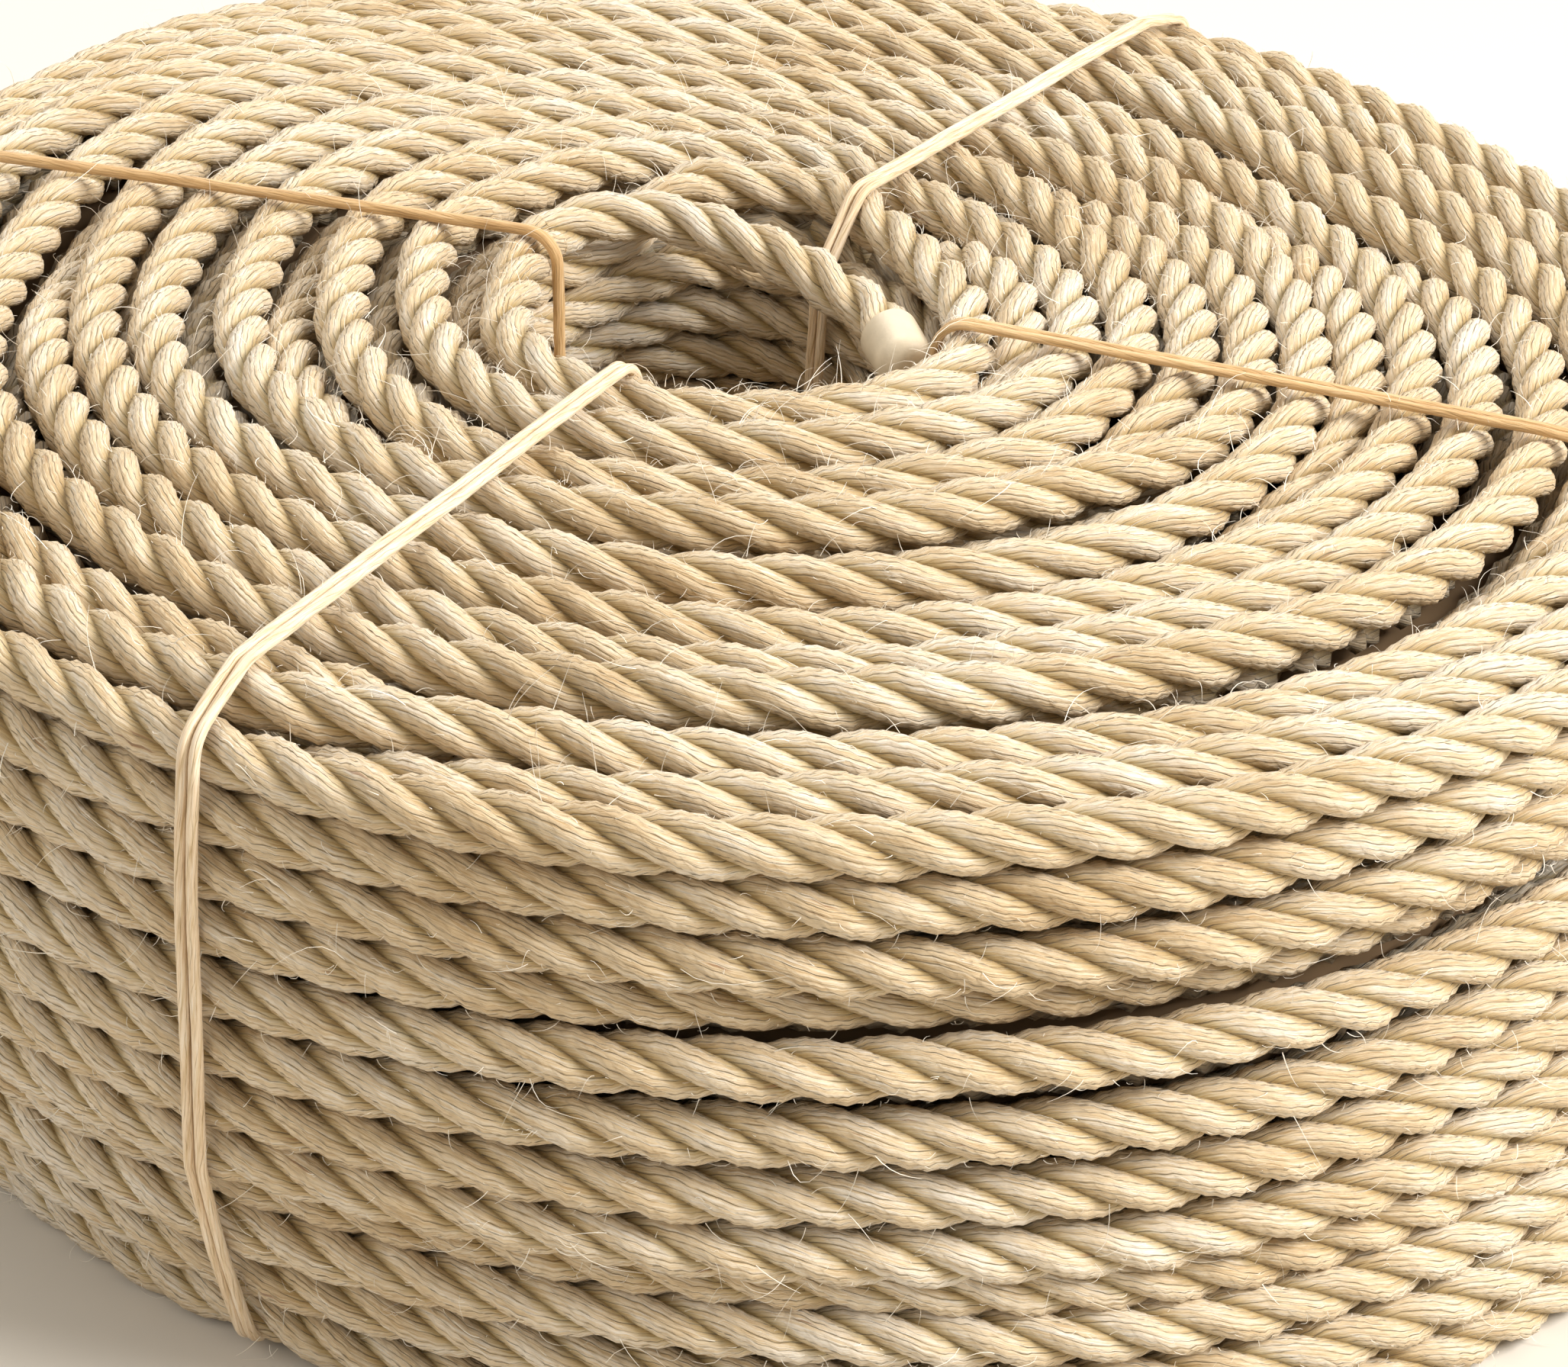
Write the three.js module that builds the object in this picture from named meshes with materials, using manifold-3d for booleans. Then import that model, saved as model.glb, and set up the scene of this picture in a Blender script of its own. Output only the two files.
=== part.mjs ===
// A coil of three-strand jute rope, about 105 m of 10 mm rope, lying flat.
// Millimetres, +Z up, the coil's eye upright, its underside on z = 0.
// Azimuth is measured from +X towards +Y; the viewer stands at -90 degrees.
import * as THREE from "three";
import Module from "manifold-3d";

// ---- driving sizes ----
const ROPE_D = 10;
const ROPE_R = ROPE_D / 2;
const TOP_Z = 113.5; // height of the centres of the top turns
const CREASE_LIFT = 1.4; // a crease lies this far outside the line of the centres
const CREASE_OPEN = 0.45; // and sinks by this share of any gap between two turns
const CREASE_DEEPEST = -3;
const RIDGE_ARC = 46; // half angle of the arc a turn shows, degrees
const LAY = 37; // length of rope in which its strands go once round
const STATION_STEP = 10; // degrees between sections of the coil
const RIM_STATION = 146; // one more section, where the inmost turn steps in
const PIECE_GAP = 0.35;
const TIE_GAP = 0.6;
const CHANNEL_W = 5.6; // shallow relief of the underside, where a tie passes below
const CHANNEL_H = 2.9;

// ---- the turns that show on top: centre radius, and lift over TOP_Z ----
// From azimuth 146 on, the innermost is the turn that runs into the loose end;
// up to 107 it is the next one round, which dives below the loose end there.
const TOP_AZ = [-165, -125, -85, -55, -25, 0, 30, 60, 80, 97, 110, 130, 140, 146, 175];
const TOP_TURNS = [
  {
    turn: 1,
    radius: [42.3, 41.3, 39, 39, 40, 38.5, 39.5, 49, 62, 63, 57.5, 54.5, 54.8, 48, 42],
    lift: [0, 0, 0, 0, 0, 0, 0, 0, 0, 0, -2.5, -9.6, -9.6, 0, 0],
  },
  {
    turn: 2,
    radius: [48.7, 47.5, 45, 45.5, 47.5, 47.5, 49, 57.5, 67.5, 70, 66.5, 62.5, 61, 58, 49.5],
    lift: [-8, -8, -8, -8, -5, -0.5, 0, -8, -8, -8, -8, -9, -9, -9, -8],
  },
  {
    turn: 3,
    radius: [55.3, 54.7, 51, 52, 55, 57, 58.9, 65.5, 75, 77.8, 76, 69.7, 67.7, 66, 57.3],
    lift: [0, 0, 0, 0.5, 0, 0, 0, 0, 0, 0, 0, 0, 0, 0, 0],
  },
  {
    turn: 4,
    radius: [70, 71.3, 64, 66.5, 66, 67, 71.5, 83, 87.7, 89.3, 87.5, 83.4, 81.2, 79.8, 71.6],
    lift: [0, 0, -2, -0.5, 0, 0, 0, 0, 0, 0, 0, 0, 0, 0, 0],
  },
  {
    turn: 5,
    radius: [79.5, 78.5, 73, 75, 76.5, 77.5, 80.4, 91, 94, 95, 94, 91, 89.5, 88, 79.6],
    lift: [-4, -7, -7, -7, -1.5, 0, -0.5, -7, -8, -8, -8, -8, -8, -8, -6],
  },
  {
    turn: 6,
    radius: [87.8, 85.5, 81.4, 82, 87.5, 87.5, 89.3, 99.2, 100, 100.3, 100.3, 99.4, 97.7, 96, 88.4],
    lift: [0, 1, 2, 1.5, 0, 0, -0.5, 0, 0, 0, 0, 0, 0, 0, 0],
  },
  {
    turn: 7,
    radius: [102, 98, 96.7, 99, 98, 97, 99.7, 111.7, 113, 113.2, 113.6, 113.4, 111.2, 109.3, 102.7],
    lift: [0, 0, -1, -0.5, 0, 0, 0, 0, 0, 0, 0, 0, 0, 0, 0],
  },
  {
    turn: 8,
    radius: [107, 104.5, 105, 106.5, 106.5, 106.2, 106.8, 116.5, 118.5, 119.5, 120.5, 121, 119, 117, 108.5],
    lift: [-8, -8, -7.5, -8, -3, 0, -3.5, -8, -8, -8, -8, -8, -8, -8, -8],
  },
  {
    turn: 9,
    radius: [111.7, 110.5, 113.4, 114.5, 115, 115.5, 114.6, 121, 123.5, 125.3, 127.5, 129, 126.7, 124.5, 113.8],
    lift: [0, 0, -1.5, -0.5, 0, 0, 0, 0, 0, 0, 0, 0, 0, 0, 0],
  },
  {
    turn: 10,
    radius: [121.5, 123, 127, 125.5, 126, 126, 122, 130.5, 131, 131.5, 134.5, 136, 134.5, 131.5, 121],
    lift: [-0.5, 0, 0, 0, 0, 0, -7, -7, -8, -8, -8, -8, -8, -8, -5],
  },
  {
    turn: 11,
    radius: [132.5, 134.5, 140.5, 138.7, 138.3, 136.8, 129.7, 140, 138.7, 138.2, 140.8, 142.5, 142, 139, 130.5],
    lift: [0.5, 0.5, 3.3, 1.5, 0.5, 0, 0, 0, 0, 0, 0, 0, 0, 0, 0],
  },
];

// ---- the turns of the rim: centre radius, and lift over TOP_Z ----
const RIM_AZ = [-165, -140, -116, -106, -96, -80, -55, -40, -25, 0, 30, 60, 95, 130, 150, 175];
const RIM_TURNS = [
  {
    turn: 1,
    radius: [143.5, 147, 148.3, 147.5, 146, 146, 146, 147, 148.5, 147.2, 142.9, 150.8, 150, 153.5, 152.5, 142.8],
    lift: [0, 0, 0, -5, -9, -9.5, -9, -8, -4, 0, 0, 0, 0, 0, 0, 0],
  },
  {
    turn: 2,
    radius: [153.8, 155.5, 159.5, 156, 152.7, 150.5, 152.7, 153.2, 155.5, 157.3, 153.4, 162.3, 161, 163.5, 160, 153.2],
    lift: [0, 0.7, 2.7, 2.3, 0.2, -1.5, -2, -1.8, -1, 0, 0, 0, 0, 0, -1.5, -1],
  },
  {
    turn: 3,
    radius: [161, 161.5, 164.5, 163.8, 162.2, 160.5, 162.4, 163.8, 165, 164.5, 162, 169, 167, 169.5, 164.5, 160],
    lift: [-8, -8, -7, -3.5, -2.5, -1.6, -1.5, -1.2, -1.5, -6, -8, -7.5, -7, -6, -8, -7],
  },
  {
    turn: 4,
    radius: [166.5, 167, 169.4, 171.8, 172.2, 170.6, 172.4, 173.2, 173.5, 171.5, 171, 175.3, 173.5, 176, 168.5, 165.5],
    lift: [-1, -0.7, -1.3, -1.6, -2.4, -3.3, -3.2, -3.2, -3.5, -3, -3.2, -3, -3, -2, -2.5, -2],
  },
];

// ---- the turns of the outer side, from the shoulder down: centre height and radius ----
const SIDE_AZ = [-150, -110, -85, -60, -30, 30, 90, 150];
const SIDE_TURNS = [
  {
    turn: 1,
    height: [102.7, 102.8, 101.3, 100.4, 100.5, 101, 101.5, 102.2],
    radius: [167.5, 170.8, 171, 172, 172.5, 171.5, 171, 168.5],
  },
  {
    turn: 2,
    height: [93, 93.3, 91.5, 90, 91, 92.5, 93, 93],
    radius: [171.5, 171, 172, 173, 173, 172, 169, 170.5],
  },
  {
    turn: 3,
    height: [83.5, 84, 83.5, 81.5, 80.5, 82.5, 83, 83.5],
    radius: [171.5, 171, 167.5, 166.5, 169, 172.5, 169.5, 171],
  },
  {
    turn: 4,
    height: [73, 73, 74.5, 73, 71, 72.5, 73, 73.5],
    radius: [172, 171, 173, 174, 174, 173, 169.5, 171],
  },
  {
    turn: 5,
    height: [63, 63, 62.5, 61, 61, 62.5, 63, 63.5],
    radius: [171.5, 171, 172.5, 175, 175, 173, 169.5, 171],
  },
  {
    turn: 6,
    height: [53.5, 53, 51.5, 50, 50.5, 52.5, 53.5, 53.5],
    radius: [171, 171, 172, 175.5, 176, 173, 169, 171],
  },
  {
    turn: 7,
    height: [44, 44.5, 41.5, 39.5, 41, 42.5, 43.5, 44],
    radius: [170, 171, 172, 176.5, 178.5, 173.5, 168.5, 170],
  },
  {
    turn: 8,
    height: [35.5, 36, 34, 31, 31.5, 33, 34, 35],
    radius: [165.5, 165, 168.5, 175, 179, 174.5, 168, 166.5],
  },
  {
    turn: 9,
    height: [26.5, 27, 25.5, 23, 22.8, 24, 25, 26],
    radius: [165.5, 166.5, 170.5, 178, 182.5, 175.5, 168, 167],
  },
  {
    turn: 10,
    height: [15.8, 16, 15.5, 14, 14, 15, 15.5, 15.8],
    radius: [161, 163, 170, 179.5, 185, 176, 168, 164],
  },
  {
    turn: 11,
    height: [5, 5, 5, 5, 5, 5, 5, 5],
    radius: [155.5, 160.5, 168, 180, 186, 174, 167, 161],
  },
];

// ---- the turns of the eye's wall, from the top down: height, radius and share ----
// The wall stands back by EYE_BACK times the share of a turn. Its turns are pressed
// down by EYE_DROP at the top, less and less towards the floor.
const EYE_AZ = [-150, -60, 30, 65, 100, 118, 135, 150, 175];
const EYE_BACK = [0, 0, 0.5, 7, 14, 15, 14.5, 12, 3.5];
const EYE_DROP = [0, 0, 0, 0, 0.5, 5, 8.5, 7.5, 1.2];
const EYE_TURNS = [
  { turn: 1, height: 103.4, radius: 38.5, share: 0.8 },
  { turn: 2, height: 93.6, radius: 37.8, share: 0.95 },
  { turn: 3, height: 83.8, radius: 38.5, share: 1.05 },
  { turn: 4, height: 73.8, radius: 38, share: 1.1 },
  { turn: 5, height: 64, radius: 38.2, share: 1.1 },
  { turn: 6, height: 54.2, radius: 38, share: 1.05 },
  { turn: 7, height: 44.4, radius: 38.3, share: 0.95 },
  { turn: 8, height: 34.6, radius: 38, share: 0.8 },
  { turn: 9, height: 24.8, radius: 38.3, share: 0.65 },
  { turn: 10, height: 14.9, radius: 38, share: 0.5 },
  { turn: 11, height: 5, radius: 38.2, share: 0.4 },
];

// ---- the ties of twine round the coil's body ----
// A tie lies in an upright plane at an azimuth, set sideways of the axis by aside.
const TIES = [
  {
    name: "tie_front",
    azimuth: -114.3,
    aside: -5,
    twine: 1.8,
    runs: 2,
    colour: 0xd9b27c,
  },
  {
    name: "tie_right",
    azimuth: -20,
    aside: 3,
    twine: 1.6,
    runs: 2,
    colour: 0xbf8a4c,
  },
  {
    name: "tie_back",
    azimuth: 58.3,
    aside: 8.5,
    twine: 1.8,
    runs: 2,
    colour: 0xd9b27c,
  },
  {
    name: "tie_left",
    azimuth: 166,
    aside: -12,
    twine: 2.2,
    runs: 1,
    colour: 0xc08a4e,
  },
];
const TIE_STEP = 12; // along the tie

// ---- the loose inner end, from where it leaves the rim to its sealed tip ----
const LOOSE_END = [
  { azimuth: 140, radius: 49, height: 113.7 },
  { azimuth: 134, radius: 49.8, height: 114.2 },
  { azimuth: 124, radius: 49.3, height: 114.7 },
  { azimuth: 113, radius: 46.5, height: 114.6 },
  { azimuth: 104, radius: 42.2, height: 114.2 },
  { azimuth: 96, radius: 37.2, height: 113.6 },
  { azimuth: 85, radius: 32.9, height: 112.9 },
  { azimuth: 70, radius: 28.8, height: 112.2 },
  { azimuth: 50, radius: 25.6, height: 110.9 },
  { azimuth: 28, radius: 25.8, height: 109.9 },
  { azimuth: 12, radius: 25.6, height: 109.3 },
];
const STRANDS = 3;
const STRAND_C = 0.41; // centre of a strand from the rope's axis, over ROPE_R
const STRAND_R = 0.59; // radius of a strand, over ROPE_R
const LOOSE_STEP = 3.1;
const SEAL_D = 10.6;
const SEAL_L = 12.5;

const rad = THREE.MathUtils.degToRad;

// Smooth value of a table row at an azimuth, the row closing on itself after 360 degrees.
function around(columns, values, azimuth) {
  const n = columns.length;
  const a = ((((azimuth - columns[0]) % 360) + 360) % 360) + columns[0];
  let i = 0;
  while (i < n - 1 && a >= columns[i + 1]) i += 1;
  const at = (k) => columns[((k % n) + n) % n] + 360 * Math.floor(k / n);
  const val = (k) => values[((k % n) + n) % n];
  const rise = (k) => (val(k + 1) - val(k)) / (at(k + 1) - at(k));
  const slope = (k) => {
    const product = rise(k - 1) * rise(k);
    return product > 0 ? (2 * product) / (rise(k - 1) + rise(k)) : 0;
  };
  const span = at(i + 1) - at(i);
  const t = (a - at(i)) / span;
  const t2 = t * t;
  const t3 = t2 * t;
  return (
    (2 * t3 - 3 * t2 + 1) * val(i) +
    (t3 - 2 * t2 + t) * span * slope(i) +
    (3 * t2 - 2 * t3) * val(i + 1) +
    (t3 - t2) * span * slope(i + 1)
  );
}

// Centres of the turns that show, in order round the body: eye, top, rim, side.
// face is the direction a turn looks in, in degrees from outwards.
function turnsAt(azimuth) {
  const turns = [];
  const back = around(EYE_AZ, EYE_BACK, azimuth);
  const drop = around(EYE_AZ, EYE_DROP, azimuth);
  EYE_TURNS.slice()
    .reverse()
    .forEach((row) => {
      turns.push({
        r: row.radius + back * row.share,
        z: row.height - (drop * (row.height - ROPE_R)) / (TOP_Z - ROPE_R),
        face: 180,
      });
    });
  TOP_TURNS.forEach((row) => {
    turns.push({
      r: around(TOP_AZ, row.radius, azimuth),
      z: TOP_Z + around(TOP_AZ, row.lift, azimuth),
      face: 90,
    });
  });
  RIM_TURNS.forEach((row) => {
    turns.push({
      r: around(RIM_AZ, row.radius, azimuth),
      z: TOP_Z + around(RIM_AZ, row.lift, azimuth),
      face: 90,
    });
  });
  const shoulder = turns.length;
  SIDE_TURNS.forEach((row) => {
    turns.push({
      r: around(SIDE_AZ, row.radius, azimuth),
      z: around(SIDE_AZ, row.height, azimuth),
      face: 0,
    });
  });
  turns[EYE_TURNS.length].face = 128;
  turns[shoulder - 1].face = 62;
  turns[shoulder].face = 14;
  return turns;
}

// Closed outline of the body at an azimuth as points [r, z], clockwise from the eye's foot.
function sectionAt(azimuth) {
  const turns = turnsAt(azimuth);
  const last = turns.length - 1;
  const points = [[turns[0].r, 0]];
  turns.forEach((turn, i) => {
    [RIDGE_ARC, 0, -RIDGE_ARC].forEach((offset) => {
      const a = rad(turn.face + offset);
      const r = turn.r + ROPE_R * Math.cos(a);
      const z = turn.z + ROPE_R * Math.sin(a);
      points.push([r, z]);
    });
    if (i < last) {
      const next = turns[i + 1];
      const a = rad((turn.face + next.face) / 2);
      const gap = Math.max(0, Math.hypot(next.r - turn.r, next.z - turn.z) - ROPE_D);
      const lift = Math.max(CREASE_DEEPEST, CREASE_LIFT - CREASE_OPEN * gap);
      points.push([
        (turn.r + next.r) / 2 + lift * Math.cos(a),
        (turn.z + next.z) / 2 + lift * Math.sin(a),
      ]);
    }
  });
  points.push([turns[last].r, 0]);
  points.push([(turns[0].r + turns[last].r) / 2, 0]);
  return points;
}

const onAzimuth = (azimuth, r, z) =>
  new THREE.Vector3(r * Math.cos(rad(azimuth)), r * Math.sin(rad(azimuth)), z);

// Skin over closed rings of equal count; open ends get a fan cap.
function skin(rings, closed) {
  const n = rings[0].length;
  const vertices = rings.flat();
  const faces = [];
  const count = closed ? rings.length : rings.length - 1;
  for (let i = 0; i < count; i += 1) {
    const a = i * n;
    const b = ((i + 1) % rings.length) * n;
    for (let j = 0; j < n; j += 1) {
      const k = (j + 1) % n;
      faces.push([a + j, a + k, b + k], [a + j, b + k, b + j]);
    }
  }
  if (!closed) {
    [0, rings.length - 1].forEach((i) => {
      const centre = new THREE.Vector3();
      rings[i].forEach((p) => centre.addScaledVector(p, 1 / n));
      const c = vertices.push(centre) - 1;
      for (let j = 0; j < n; j += 1) {
        const k = (j + 1) % n;
        faces.push(i === 0 ? [c, i * n + k, i * n + j] : [c, i * n + j, i * n + k]);
      }
    });
  }
  return solid(vertices, faces);
}

// Buffer geometry facing out, whichever way round its rings were listed.
function solid(vertices, faces) {
  let volume = 0;
  faces.forEach(([a, b, c]) => {
    volume += vertices[a].dot(vertices[b].clone().cross(vertices[c]));
  });
  const geometry = new THREE.BufferGeometry();
  const xyz = vertices.flatMap((v) => [v.x, v.y, v.z]);
  geometry.setAttribute("position", new THREE.Float32BufferAttribute(xyz, 3));
  geometry.setIndex(faces.flatMap(([a, b, c]) => (volume < 0 ? [a, c, b] : [a, b, c])));
  return geometry;
}

// Stations of the coil, evenly round, and one more at the step of the rim.
function stations() {
  const list = [RIM_STATION];
  for (let a = -180; a < 180; a += STATION_STEP) list.push(a);
  return list.sort((a, b) => a - b);
}

// The body, with its underside relieved where the ties pass below.
async function coilGeometry() {
  const rings = stations().map((azimuth) =>
    sectionAt(azimuth).map(([r, z]) => onAzimuth(azimuth, r, z)),
  );
  const body = skin(rings, true);
  const wasm = await Module();
  wasm.setup();
  let made = new wasm.Manifold(
    new wasm.Mesh({
      numProp: 3,
      vertProperties: body.attributes.position.array,
      triVerts: new Uint32Array(body.index.array),
    }),
  );
  TIES.forEach((tie) => {
    const cutter = wasm.Manifold.cube([180, CHANNEL_W, 2 * CHANNEL_H], false)
      .translate([20, tie.aside - CHANNEL_W / 2, -CHANNEL_H])
      .rotate([0, 0, tie.azimuth]);
    made = made.subtract(cutter);
  });
  const mesh = made.getMesh();
  const geometry = new THREE.BufferGeometry();
  geometry.setAttribute(
    "position",
    new THREE.Float32BufferAttribute(mesh.vertProperties, mesh.numProp),
  );
  geometry.setIndex(new THREE.BufferAttribute(mesh.triVerts, 1));
  return geometry;
}

// Convex hull of [r, z] points, anticlockwise.
function hull(points) {
  const sorted = points.slice().sort((a, b) => a[0] - b[0] || a[1] - b[1]);
  const turnOf = (o, a, b) =>
    (a[0] - o[0]) * (b[1] - o[1]) - (a[1] - o[1]) * (b[0] - o[0]);
  const half = (list) => {
    const chain = [];
    list.forEach((p) => {
      while (chain.length > 1 && turnOf(chain.at(-2), chain.at(-1), p) <= 1e-9) {
        chain.pop();
      }
      chain.push(p);
    });
    chain.pop();
    return chain;
  };
  return half(sorted).concat(half(sorted.reverse()));
}

// Where the body's edges cross the upright plane of a tie, as [distance, height].
function crossings(body, tie, shift) {
  const out = onAzimuth(tie.azimuth, 1, 0);
  const sideways = onAzimuth(tie.azimuth + 90, 1, 0);
  const place = body.attributes.position;
  const corner = (k) => new THREE.Vector3().fromBufferAttribute(place, body.index.getX(k));
  const points = [];
  for (let k = 0; k < body.index.count; k += 3) {
    [0, 1, 2].forEach((side) => {
      const p = corner(k + side);
      const q = corner(k + ((side + 1) % 3));
      const dp = p.dot(sideways) - tie.aside - shift;
      const dq = q.dot(sideways) - tie.aside - shift;
      if (dp * dq >= 0 || p.dot(out) < 0) return;
      const x = p.lerp(q, dp / (dp - dq));
      if (x.z > CHANNEL_H - 0.01) points.push([x.dot(out), x.z]);
    });
  }
  return points;
}

// The line of a tight tie: the hull of the body's section, moved out by an offset.
function tiePath(body, tie, offset) {
  const points = [-2.2, 0, 2.2].flatMap((shift) => crossings(body, tie, shift));
  const corners = hull(points).filter((p, i, all) => {
    const before = all[(i + all.length - 1) % all.length];
    return Math.hypot(p[0] - before[0], p[1] - before[1]) > 0.4;
  });
  const path = [];
  corners.forEach((p, i) => {
    const before = corners[(i + corners.length - 1) % corners.length];
    const after = corners[(i + 1) % corners.length];
    const a0 = Math.atan2(p[1] - before[1], p[0] - before[0]) - Math.PI / 2;
    let a1 = Math.atan2(after[1] - p[1], after[0] - p[0]) - Math.PI / 2;
    if (a1 < a0 - 1e-9) a1 += 2 * Math.PI;
    const steps = a1 - a0 < 0.1 ? 0 : Math.ceil((a1 - a0) / 0.8);
    for (let k = 0; k <= steps; k += 1) {
      const a = steps ? a0 + ((a1 - a0) * k) / steps : (a0 + a1) / 2;
      path.push([p[0] + offset * Math.cos(a), p[1] + offset * Math.sin(a)]);
    }
    const run = Math.hypot(after[0] - p[0], after[1] - p[1]);
    const parts = Math.round(run / TIE_STEP);
    for (let k = 1; k < parts; k += 1) {
      const t = k / parts;
      path.push([
        p[0] + (after[0] - p[0]) * t + offset * Math.cos(a1),
        p[1] + (after[1] - p[1]) * t + offset * Math.sin(a1),
      ]);
    }
  });
  return path;
}

// Cross-section of a tie, [sideways, outwards]: one run of twine, or two side by side.
function tieProfile(tie) {
  const r = tie.twine / 2;
  const lobe = (side, from, to, n) =>
    Array.from({ length: n }, (_, k) => {
      const a = rad(from + ((to - from) * k) / (n - 1));
      return [side + r * Math.cos(a), r * Math.sin(a)];
    });
  if (tie.runs === 1) return lobe(0, 0, 315, 8);
  return [...lobe(r, -90, 90, 5), [0, 0.35 * r], ...lobe(-r, 90, 270, 5)];
}

function tieGeometry(body, tie) {
  const path = tiePath(body, tie, TIE_GAP + tie.twine / 2);
  const profile = tieProfile(tie);
  const sideways = onAzimuth(tie.azimuth + 90, 1, 0);
  const rings = path.map((p, i) => {
    const before = path[(i + path.length - 1) % path.length];
    const after = path[(i + 1) % path.length];
    const along = [after[0] - before[0], after[1] - before[1]];
    const length = Math.hypot(along[0], along[1]);
    const out = [along[1] / length, -along[0] / length];
    return profile.map(([u, v]) =>
      onAzimuth(tie.azimuth, p[0] + v * out[0], p[1] + v * out[1]).addScaledVector(
        sideways,
        tie.aside + u,
      ),
    );
  });
  return skin(rings, true);
}

const looseCurve = new THREE.CatmullRomCurve3(
  LOOSE_END.map((row) => onAzimuth(row.azimuth, row.radius, row.height)),
  false,
  "centripetal",
);
const LOOSE_L = looseCurve.getLength();

// Frame at a length along the loose end: place, direction, side and up.
function looseFrame(length) {
  const u = THREE.MathUtils.clamp(length / LOOSE_L, 0, 1);
  const place = looseCurve.getPointAt(u);
  const along = looseCurve.getTangentAt(u);
  const side = new THREE.Vector3(0, 0, 1).cross(along).normalize();
  const up = along.clone().cross(side);
  return { place, along, side, up };
}

// The loose end as three strands laid together, their crowns and grooves turning with it.
function looseGeometry() {
  const steps = Math.round(LOOSE_L / LOOSE_STEP);
  const rings = [];
  for (let i = 0; i <= steps; i += 1) {
    const length = (LOOSE_L * i) / steps;
    const frame = looseFrame(length);
    const ring = [];
    for (let s = 0; s < STRANDS; s += 1) {
      [-60, -30, 0, 30].forEach((b) => {
        const a = rad(b);
        const across = STRAND_C * Math.sin(a);
        const rr =
          STRAND_C * Math.cos(a) + Math.sqrt(STRAND_R ** 2 - across ** 2);
        const turn = (2 * Math.PI * length) / LAY + (2 * Math.PI * s) / STRANDS + a;
        ring.push(
          frame.place
            .clone()
            .addScaledVector(frame.side, ROPE_R * rr * Math.cos(turn))
            .addScaledVector(frame.up, ROPE_R * rr * Math.sin(turn)),
        );
      });
    }
    rings.push(ring);
  }
  return skin(rings, false);
}

// The sealed tip: a smooth rounded plug on the end of the rope.
function sealGeometry() {
  const r = SEAL_D / 2;
  const edge = 3.4;
  const profile = [new THREE.Vector2(0, 0), new THREE.Vector2(r, 0)];
  for (let k = 0; k <= 4; k += 1) {
    const a = (Math.PI / 2) * (k / 4);
    profile.push(
      new THREE.Vector2(
        r - edge + edge * Math.cos(a),
        SEAL_L - edge + edge * Math.sin(a),
      ),
    );
  }
  profile.push(new THREE.Vector2(0, SEAL_L));
  const geometry = new THREE.LatheGeometry(profile, 20);
  const frame = looseFrame(LOOSE_L);
  const basis = new THREE.Matrix4().makeBasis(frame.up, frame.along, frame.side);
  const place = frame.place.clone().addScaledVector(frame.along, PIECE_GAP);
  return geometry.applyMatrix4(basis.setPosition(place));
}

function piece(name, geometry, colour, roughness) {
  const material = new THREE.MeshStandardMaterial({
    color: colour,
    roughness,
    metalness: 0,
  });
  const mesh = new THREE.Mesh(geometry, material);
  mesh.name = name;
  return mesh;
}

const group = new THREE.Group();
group.name = "jute_rope_coil";
const body = await coilGeometry();
group.add(piece("coil", body, 0xdcc79c, 0.95));
TIES.forEach((tie) => {
  group.add(piece(tie.name, tieGeometry(body, tie), tie.colour, 0.9));
});
group.add(piece("loose_end", looseGeometry(), 0xd6c194, 0.95));
group.add(piece("end_seal", sealGeometry(), 0xe6d8bb, 0.6));

// The origin is under the middle of the box round the whole coil.
const box = new THREE.Box3().setFromObject(group);
const middle = box.getCenter(new THREE.Vector3());
group.children.forEach((mesh) => {
  mesh.geometry.translate(-middle.x, -middle.y, -box.min.z);
});

export default group;
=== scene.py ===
"""A coil of laid jute rope with its ties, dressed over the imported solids."""

import math

import bpy
import numpy as np
from mathutils import Matrix, Vector


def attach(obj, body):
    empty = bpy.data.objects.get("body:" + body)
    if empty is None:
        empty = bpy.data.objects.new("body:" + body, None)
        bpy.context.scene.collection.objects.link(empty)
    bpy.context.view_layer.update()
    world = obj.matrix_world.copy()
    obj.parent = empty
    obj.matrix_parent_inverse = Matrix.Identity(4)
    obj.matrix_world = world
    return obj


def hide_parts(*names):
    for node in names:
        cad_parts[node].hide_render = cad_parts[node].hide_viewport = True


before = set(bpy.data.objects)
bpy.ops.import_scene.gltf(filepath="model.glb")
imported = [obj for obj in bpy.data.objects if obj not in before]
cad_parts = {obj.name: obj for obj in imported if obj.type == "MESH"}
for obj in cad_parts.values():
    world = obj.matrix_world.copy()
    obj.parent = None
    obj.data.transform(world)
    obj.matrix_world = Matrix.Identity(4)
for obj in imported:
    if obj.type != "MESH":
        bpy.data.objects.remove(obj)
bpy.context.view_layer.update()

bl_info = {
    "name": "Jute rope coil",
    "version": (1, 0, 0),
    "blender": (4, 5, 0),
    "location": "3D View > Sidebar > Rope Coil",
    "description": "Lays the strands, ties and stray fibres of a coil of jute rope",
    "category": "Object",
}

MM = 0.001

# Sizes in millimetres and azimuths in degrees, from the coil's own axis
AXIS_X = -4.954  # where the coil's axis stands from the middle of its box
AXIS_Y = -0.392
ROPE_D = 10.0
ROPE_R = ROPE_D / 2
TOP_Z = 113.5
TIE_LIFT = 2.9  # the lowest turns are lifted this much where a tie passes below

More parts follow.
